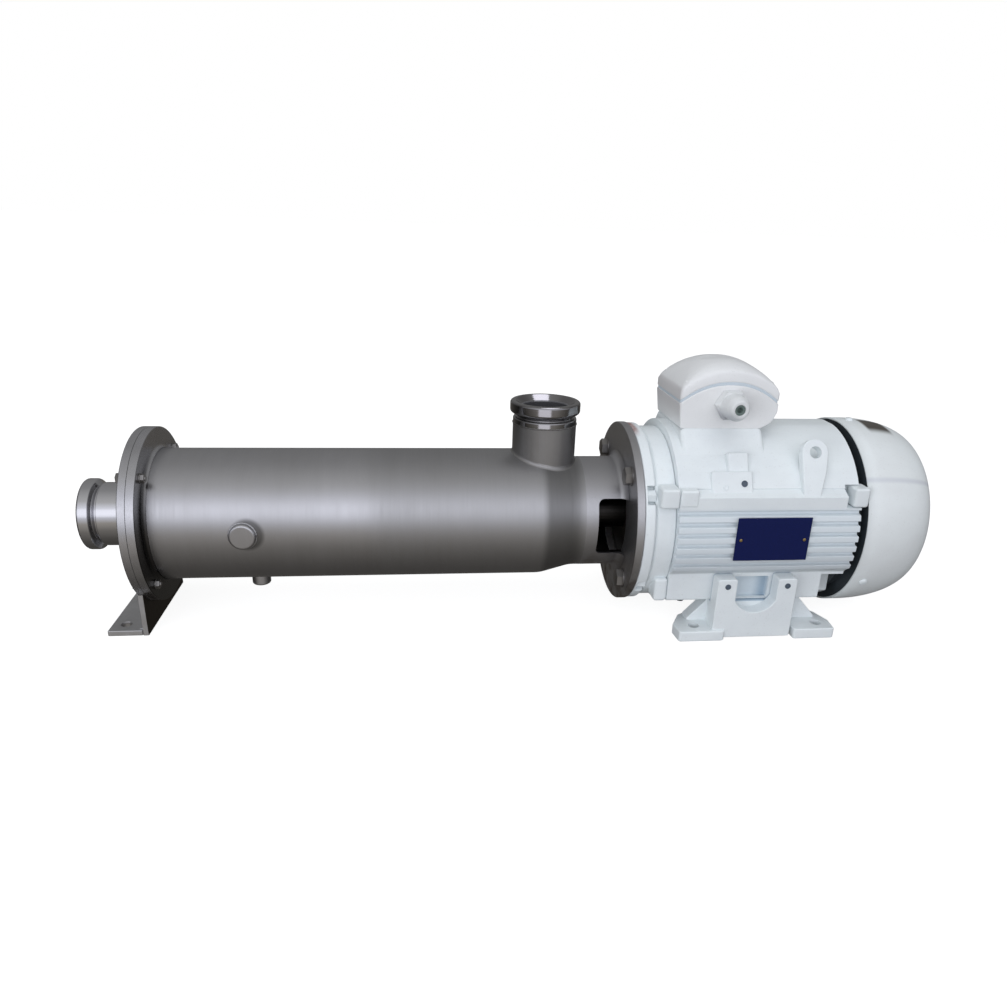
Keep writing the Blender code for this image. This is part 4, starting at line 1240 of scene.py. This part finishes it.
def make_shields():
    """End shields with their bolt lugs."""
    start = MOTOR_FLANGE_END
    end = HOUSING_START - GAP
    front = turned("drive_end_shield_casting",
                   [(start, 0, 0), (start, SHIELD_RADIUS - 0.002, 0.001),
                    (start + 0.003, SHIELD_RADIUS, 0.002), (end, SHIELD_RADIUS, 0.0012),
                    (end, 0, 0)], "cast_paint", ["drive_end_shield"], segments=160)
    lugs = []
    for side in (-1, 1):
        lugs.append(block("upper_lug_tool", stations(start + 0.002, end),
                          flank(side, 0.078, 0.0995), heights(0.0360, 0.0565), 0.0024))
        lugs.append(block("lower_lug_tool", stations(start + 0.0075, end + 0.0002),
                          flank(side, 0.065, RAIL_FACE), heights(RAIL_BOTTOM, RAIL_TOP - 0.006),
                          0.0030))
    front.modifiers.clear()
    even_normals(carve(front, lugs, "UNION"))
    start = HOUSING_END + GAP
    middle = COWL_START + GAP
    end = middle + 0.006
    ring = COWL_RADIUS - 0.0021
    # The rear shield carries the painted shadow of the gap before the cowl
    turned("rear_end_shield_casting",
           [(start, 0, 0), (start, 0.090), (middle, 0.090), (middle, ring), (end, ring),
            (end, 0.060), (end + 0.006, 0.040), (end + 0.006, 0, 0)], "gap_shadow",
           ["rear_end_shield"], segments=160)
    for side, word in SIDES:
        lug = block(f"rear_shield_lug_{word}",
                    stations(LUG_POCKET_START + 0.0075, COWL_START - 0.001),
                    flank(side, 0.0785, 0.0995), heights(0.0360, 0.0565), 0.0024)
        dress(even_normals(lug), "cast_paint")


def cowl_points(steps):
    """Side view of the cowl's rounded end, as (station, radius) points."""
    points = []
    for index in range(steps + 1):
        angle = math.pi / 2 * index / steps
        station = COWL_BEND_START + (LENGTH - COWL_BEND_START) * math.sin(angle) ** 1.1
        points.append((station, COWL_FLAT_RADIUS + (COWL_RADIUS - COWL_FLAT_RADIUS)
                       * math.cos(angle) ** 0.75))
    return points


def make_cowl():
    """Sheet steel cowl, its sixteen air slots and its screws."""
    segments = 128
    slot_pitch = 8
    outline = [(COWL_START, COWL_RADIUS)] + cowl_points(24)
    outline += [(LENGTH, radius) for radius in (0.0660, SLOT_START_RADIUS, SLOT_END_RADIUS, 0.0120)]
    shape = bmesh.new()
    rings = [[shape.verts.new((along(station), y, z))
              for y, z in circle((0, SHAFT), radius, segments, 180 / segments)]
             for station, radius in outline]
    for (station, radius), first, second in zip(outline, rings, rings[1:]):
        for index in range(segments):
            after = (index + 1) % segments
            if radius == SLOT_START_RADIUS and index % slot_pitch in (2, 3, 4, 5):
                continue
            shape.faces.new((first[index], first[after], second[after], second[index]))
    shape.faces.new(rings[-1])
    cowl = smooth_piece("fan_cowl_sheet", shape, 60)
    wall = cowl.modifiers.new("sheet", "SOLIDIFY")
    wall.thickness = COWL_WALL
    wall.offset = -1
    wall.use_even_offset = True
    dress(cowl, "cowl_paint", ["fan_cowl"])
    for number, angle in enumerate((90, -30, -150)):
        turn = math.radians(angle)
        out = Vector((0, -math.cos(turn), math.sin(turn)))
        spot = Vector((along(0.8295), 0, SHAFT)) + out * (COWL_RADIUS - 0.0004)
        screw = lathed(f"cowl_screw_{number}", [(0, 0), (0, 0.0045), (0.0028, 0.0040, 0.0018),
                                                (0.0030, 0)], pointing(out, spot), steps=4)
        dress(screw, "cast_paint")


def foot_casting(name, side):
    """Undrilled foot: a link with a round valley, an inner web and two pads."""
    middle = along(MOTOR_PAD_MIDDLE)
    lug_middle = along(MOTOR_LUG_MIDDLE)
    half = MOTOR_PAD_HALF_LENGTH
    outside = MOTOR_FOOT_OUTSIDE
    outline = [(-0.0440, 0.0025, 0.002), (0.0440, 0.0025, 0.002), (0.0440, 0.071, 0.003),
               (0.0225, 0.071, 0.002)]
    outline += [(*spot, 0) for spot in arc((0, 0.0569), 0.0248, 335, 205, 24)]
    outline += [(-0.0225, 0.071, 0.002), (-0.0440, 0.071, 0.003)]
    outline = [(lug_middle + x, z) for x, z in rounded(outline, 0)]
    foot = prism(name, outline, *flank(side, RAIL_FACE + GAP, outside - 0.003), "Y", 0.0012)
    reach = half - 0.012
    web = [(reach, 0.0025), (reach, 0.014), (reach - 0.021, 0.037)]
    web = [(middle + x, z) for x, z in web] + [(middle - x, z) for x, z in reversed(web)]
    tools = [prism("web_tool", web, *flank(side, 0.066, 0.082), "Y", 0.001),
             block("link_tool", (lug_middle - 0.0435, lug_middle + 0.0435),
                   flank(side, 0.081, 0.0905), (0.003, level(RAIL_BOTTOM + 0.0005)), 0.0)]
    for end in (-1, 1):
        tip = half + (0.004 if end < 0 else 0)
        pad = [(0.039, outside), (tip, outside), (tip + 0.002, 0.090), (half - 0.006, 0.068),
               (half - 0.019, 0.060), (0.039, 0.060)]
        pad = rounded([(middle + end * x, side * y) for x, y in pad], 0.003, 3)
        tools.append(prism("pad_tool", pad, 0.0, 0.012, "Z", 0.0015))
    return carve(foot, tools, "UNION")


def make_motor_feet():
    """Cast feet, their holes and the screws that hold them to the rails."""
    for side, word in SIDES:
        foot = foot_casting(f"motor_foot_{word}_casting", side)
        carve(foot, [foot_drill(along(MOTOR_PAD_MIDDLE) + end * 0.070, side * 0.095, 0.006, 0.03)
                     for end in (-1, 1)])
        dress(even_normals(foot), "foot_paint", [f"motor_foot_{word}"])
        for end, place in ((-1, "front"), (1, "rear")):
            spot = (along(MOTOR_LUG_MIDDLE) + end * 0.0330, side * (MOTOR_FOOT_OUTSIDE - 0.003),
                    level(-0.049))
            points = [(-0.004, 0), (-0.004, 0.0031), (0.0008, 0.0031, 0.0004), (0.0008, 0.0024),
                      (0.0002, 0.0022), (0.0002, 0)]
            screw = lathed(f"foot_screw_{word}_{place}", points, pointing((0, side, 0), spot))
            dress(screw, "socket")


# Terminal box

def arch(station):
    """Height of the box's arched top edge at a station."""
    share = min(1.0, max(0.0, (station - BOX_START) / (BOX_END - BOX_START)))
    return BOX_SIDE_HEIGHT + (BOX_ARCH_HEIGHT - BOX_SIDE_HEIGHT) * (1 - abs(2 * share - 1) ** 2.2)


def make_box():
    """Terminal box with a rounded lower corner and an arched top edge."""
    floor = PLATFORM_HEIGHT + GAP
    steps = 32
    outline = [(BOX_START + BOX_TAPER, floor, 0.003), (BOX_END - 0.017, floor, 0.012),
               (BOX_END - 0.005, floor + 0.007, 0.012), (BOX_END, floor + 0.018, 0.01)]
    for index in range(steps + 1):
        station = BOX_END + (BOX_START - BOX_END) * index / steps
        outline.append((station, arch(station), 0))
    outline = [(along(station), level(height)) for station, height in rounded(outline, 0, 5)]
    box = prism("terminal_box_body", outline, -BOX_HALF_WIDTH, BOX_HALF_WIDTH, "Y", 0.0016)
    dress(even_normals(box), "box_paint", ["terminal_box"])


def lid_ring(shape, inset, rise):
    """Vertices around the lid: a rounded rectangle in plan, raised over the arch."""
    half_x = (BOX_END - BOX_START) / 2 - inset
    half_y = BOX_HALF_WIDTH - inset
    corner = min(0.0028 + inset * 0.8, half_x - 0.001, half_y - 0.001)
    middle = (BOX_START + BOX_END) / 2
    bends = []
    for quarter, (way_x, way_y) in enumerate(((1, 1), (-1, 1), (-1, -1), (1, -1))):
        centre = (way_x * (half_x - corner), way_y * (half_y - corner))
        bends.append(arc(centre, corner, 90 * quarter, 90 * quarter + 90, 6))
    points = []
    for bend, ahead in zip(bends, bends[1:] + bends[:1]):
        points += bend
        here = Vector(bend[-1])
        points += [here.lerp(Vector(ahead[0]), step / 14) for step in range(1, 14)]
    return [shape.verts.new((along(middle + x), y, level(arch(middle + x) + GAP + rise)))
            for x, y in points]


def lid_profile():
    """Rounded lip, upright skirt and crown of the lid, as (inset, rise) points."""
    profile = [(0.0014, 0.0025), (0.0008, 0.0027), (0.0002, 0.0032), (0.0, 0.0040),
               (0.0, LID_SKIRT - 0.0015)]
    shoulder = [(0.0, LID_SKIRT), (0.003, LID_SKIRT + 0.003), (0.010, LID_SKIRT + 0.006),
                (0.020, LID_CROWN - 0.0015), (0.030, LID_CROWN - 0.0003),
                (0.038, LID_CROWN - 0.0002)]
    shoulder = [Vector(spot) for spot in shoulder]
    for first, second, third in zip(shoulder, shoulder[1:], shoulder[2:]):
        for step in range(6):
            profile.append(quadratic((first + second) / 2, second, (second + third) / 2, step / 6))
    return profile


def make_lid():
    """Domed lid on its gasket: an upright skirt that rounds over into a low crown."""
    shape = bmesh.new()
    rings = [lid_ring(shape, inset, rise) for inset, rise in lid_profile()]
    skin(shape, rings)
    for ring in (rings[0], rings[-1]):
        total = sum((vertex.co for vertex in ring), Vector()) / len(ring)
        rise = ring[0].co.z - level(arch(ring[0].co.x + LENGTH / 2))
        middle = shape.verts.new((total.x, total.y, level(arch(total.x + LENGTH / 2)) + rise))
        for index in range(len(ring)):
            shape.faces.new((ring[index], ring[(index + 1) % len(ring)], middle))
    lid = smooth_piece("terminal_box_lid_cover", shape, 45)
    seal = bmesh.new()
    skin(seal, [lid_ring(seal, inset, rise)
                for inset, rise in ((0.0018, -0.0006), (0.0008, -0.0004), (0.0005, 0.0010),
                                    (0.0008, 0.0028), (0.0018, 0.0029))], "joined")
    # The gasket's bluish grey is painted shade under the lid's lip
    dress(smooth_piece("lid_gasket", seal, 60), "gasket")
    dress(even_normals(lid), "box_paint", ["terminal_box_lid"])
    corners = [(BOX_START + 0.0075, -0.35, -1), (BOX_START + 0.0075, -0.35, 1),
               (BOX_END - 0.0075, 0.35, -1), (BOX_END - 0.0075, 0.35, 1)]
    for number, (station, lean, side) in enumerate(corners):
        spot = (along(station), side * (BOX_HALF_WIDTH - 0.0070),
                level(arch(station) + LID_SKIRT + 0.0040))
        points = [(-0.0015, 0), (-0.0015, 0.0018), (0.0002, 0.0018, 0.0002), (0.0002, 0)]
        place = pointing((lean, side * 0.35, 0.87), spot)
        dress(lathed(f"lid_screw_{number}", points, place, 24), "box_paint")


def make_gland():
    """Cable gland: a hexagon body against the box and a domed nut with its seal."""
    spot = (along(GLAND_STATION), -BOX_HALF_WIDTH - GAP, level(GLAND_HEIGHT))
    place = pointing((0, -1, 0), spot)
    turned("cable_gland_nut", [(0.010, 0, 0), (0.010, 0.0140, 0.001), (0.0225, 0.0130, 0.005),
                               (0.030, 0.0092, 0.0025), (0.030, 0.0056, 0.0008), (0.0215, 0.0052),
                               (0.0215, 0, 0)], "gland", ["cable_gland"], 0.0006, place, 64)
    dress(hexagon("cable_gland_body", 0.0292, 0.0110, place, 0.0020), "gland")
    turned("cable_gland_seal", [(0.0205, 0, 0), (0.0205, 0.0055), (0.0285, 0.0055),
                                (0.0285, 0.0030, 0.0006), (0.0235, 0.0024), (0.0235, 0, 0)],
           "gland_seal", (), 0.0003, place, 48)


def make_nameplate():
    """Bare plate with two rivets, one near each end."""
    back = FIN_RADIUS + GAP
    plate = block("nameplate_sheet", stations(0.671, 0.751), (-back - 0.001, -back),
                  heights(-0.0195, 0.0280), 0.0004)
    dress(even_normals(plate), "nameplate", ["nameplate"])
    for number, station in enumerate((0.6765, 0.7455)):
        spot = (along(station), -back - 0.0008, level(0.0035))
        points = [(0, 0), (0, 0.0019), (0.0007, 0.0016, 0.0006), (0.0009, 0)]
        rivet = lathed(f"nameplate_rivet_{number}", points, pointing((0, -1, 0), spot), 24)
        dress(rivet, "rivet")


def make_small_parts():
    """Plugs in the housing's pads, and dark plugs under its rails that stand for the shade there."""
    lean = math.radians(LEAN_ANGLE)
    for side, word in SIDES:
        out = Vector((0, side * math.cos(lean), math.sin(lean)))
        up = Vector((0, -side * math.sin(lean), math.cos(lean)))
        for name, station, height, radius, finish in (
                ("pad_plug", 0.6790, 0.0165, 0.0034, "socket"),
                ("pad_recess", 0.6590, 0.0125, 0.0026, "cast_paint")):
            spot = Vector((along(station), 0, SHAFT)) + out * 0.1055 + up * height
            points = [(-0.003, 0), (-0.003, radius), (0.0008, radius, 0.0004),
                      (0.0008, radius * 0.75), (0.0003, radius * 0.65), (0.0003, 0)]
            dress(lathed(f"{name}_{word}", points, pointing(out, spot)), finish)
        # Painted shadow: a dark plug under each rail stands for the shade between rail and foot
        spot = (along(0.6300), side * 0.074, level(RAIL_BOTTOM))
        points = [(0, 0), (0, 0.0045), (0.006, 0.0045, 0.001), (0.006, 0)]
        plug = lathed(f"shadow_plug_{word}", points, pointing((0, 0, -1), spot))
        dress(plug, "gap_shadow")


place_camera()
build_studio()
dress_bare_nodes()
make_discharge_end()
make_pump_foot()
make_tubes()
make_inlet()
make_lantern()
make_motor_flange()
make_housing()
make_shields()
make_cowl()
make_motor_feet()
make_box()
make_lid()
make_gland()
make_nameplate()
make_small_parts()
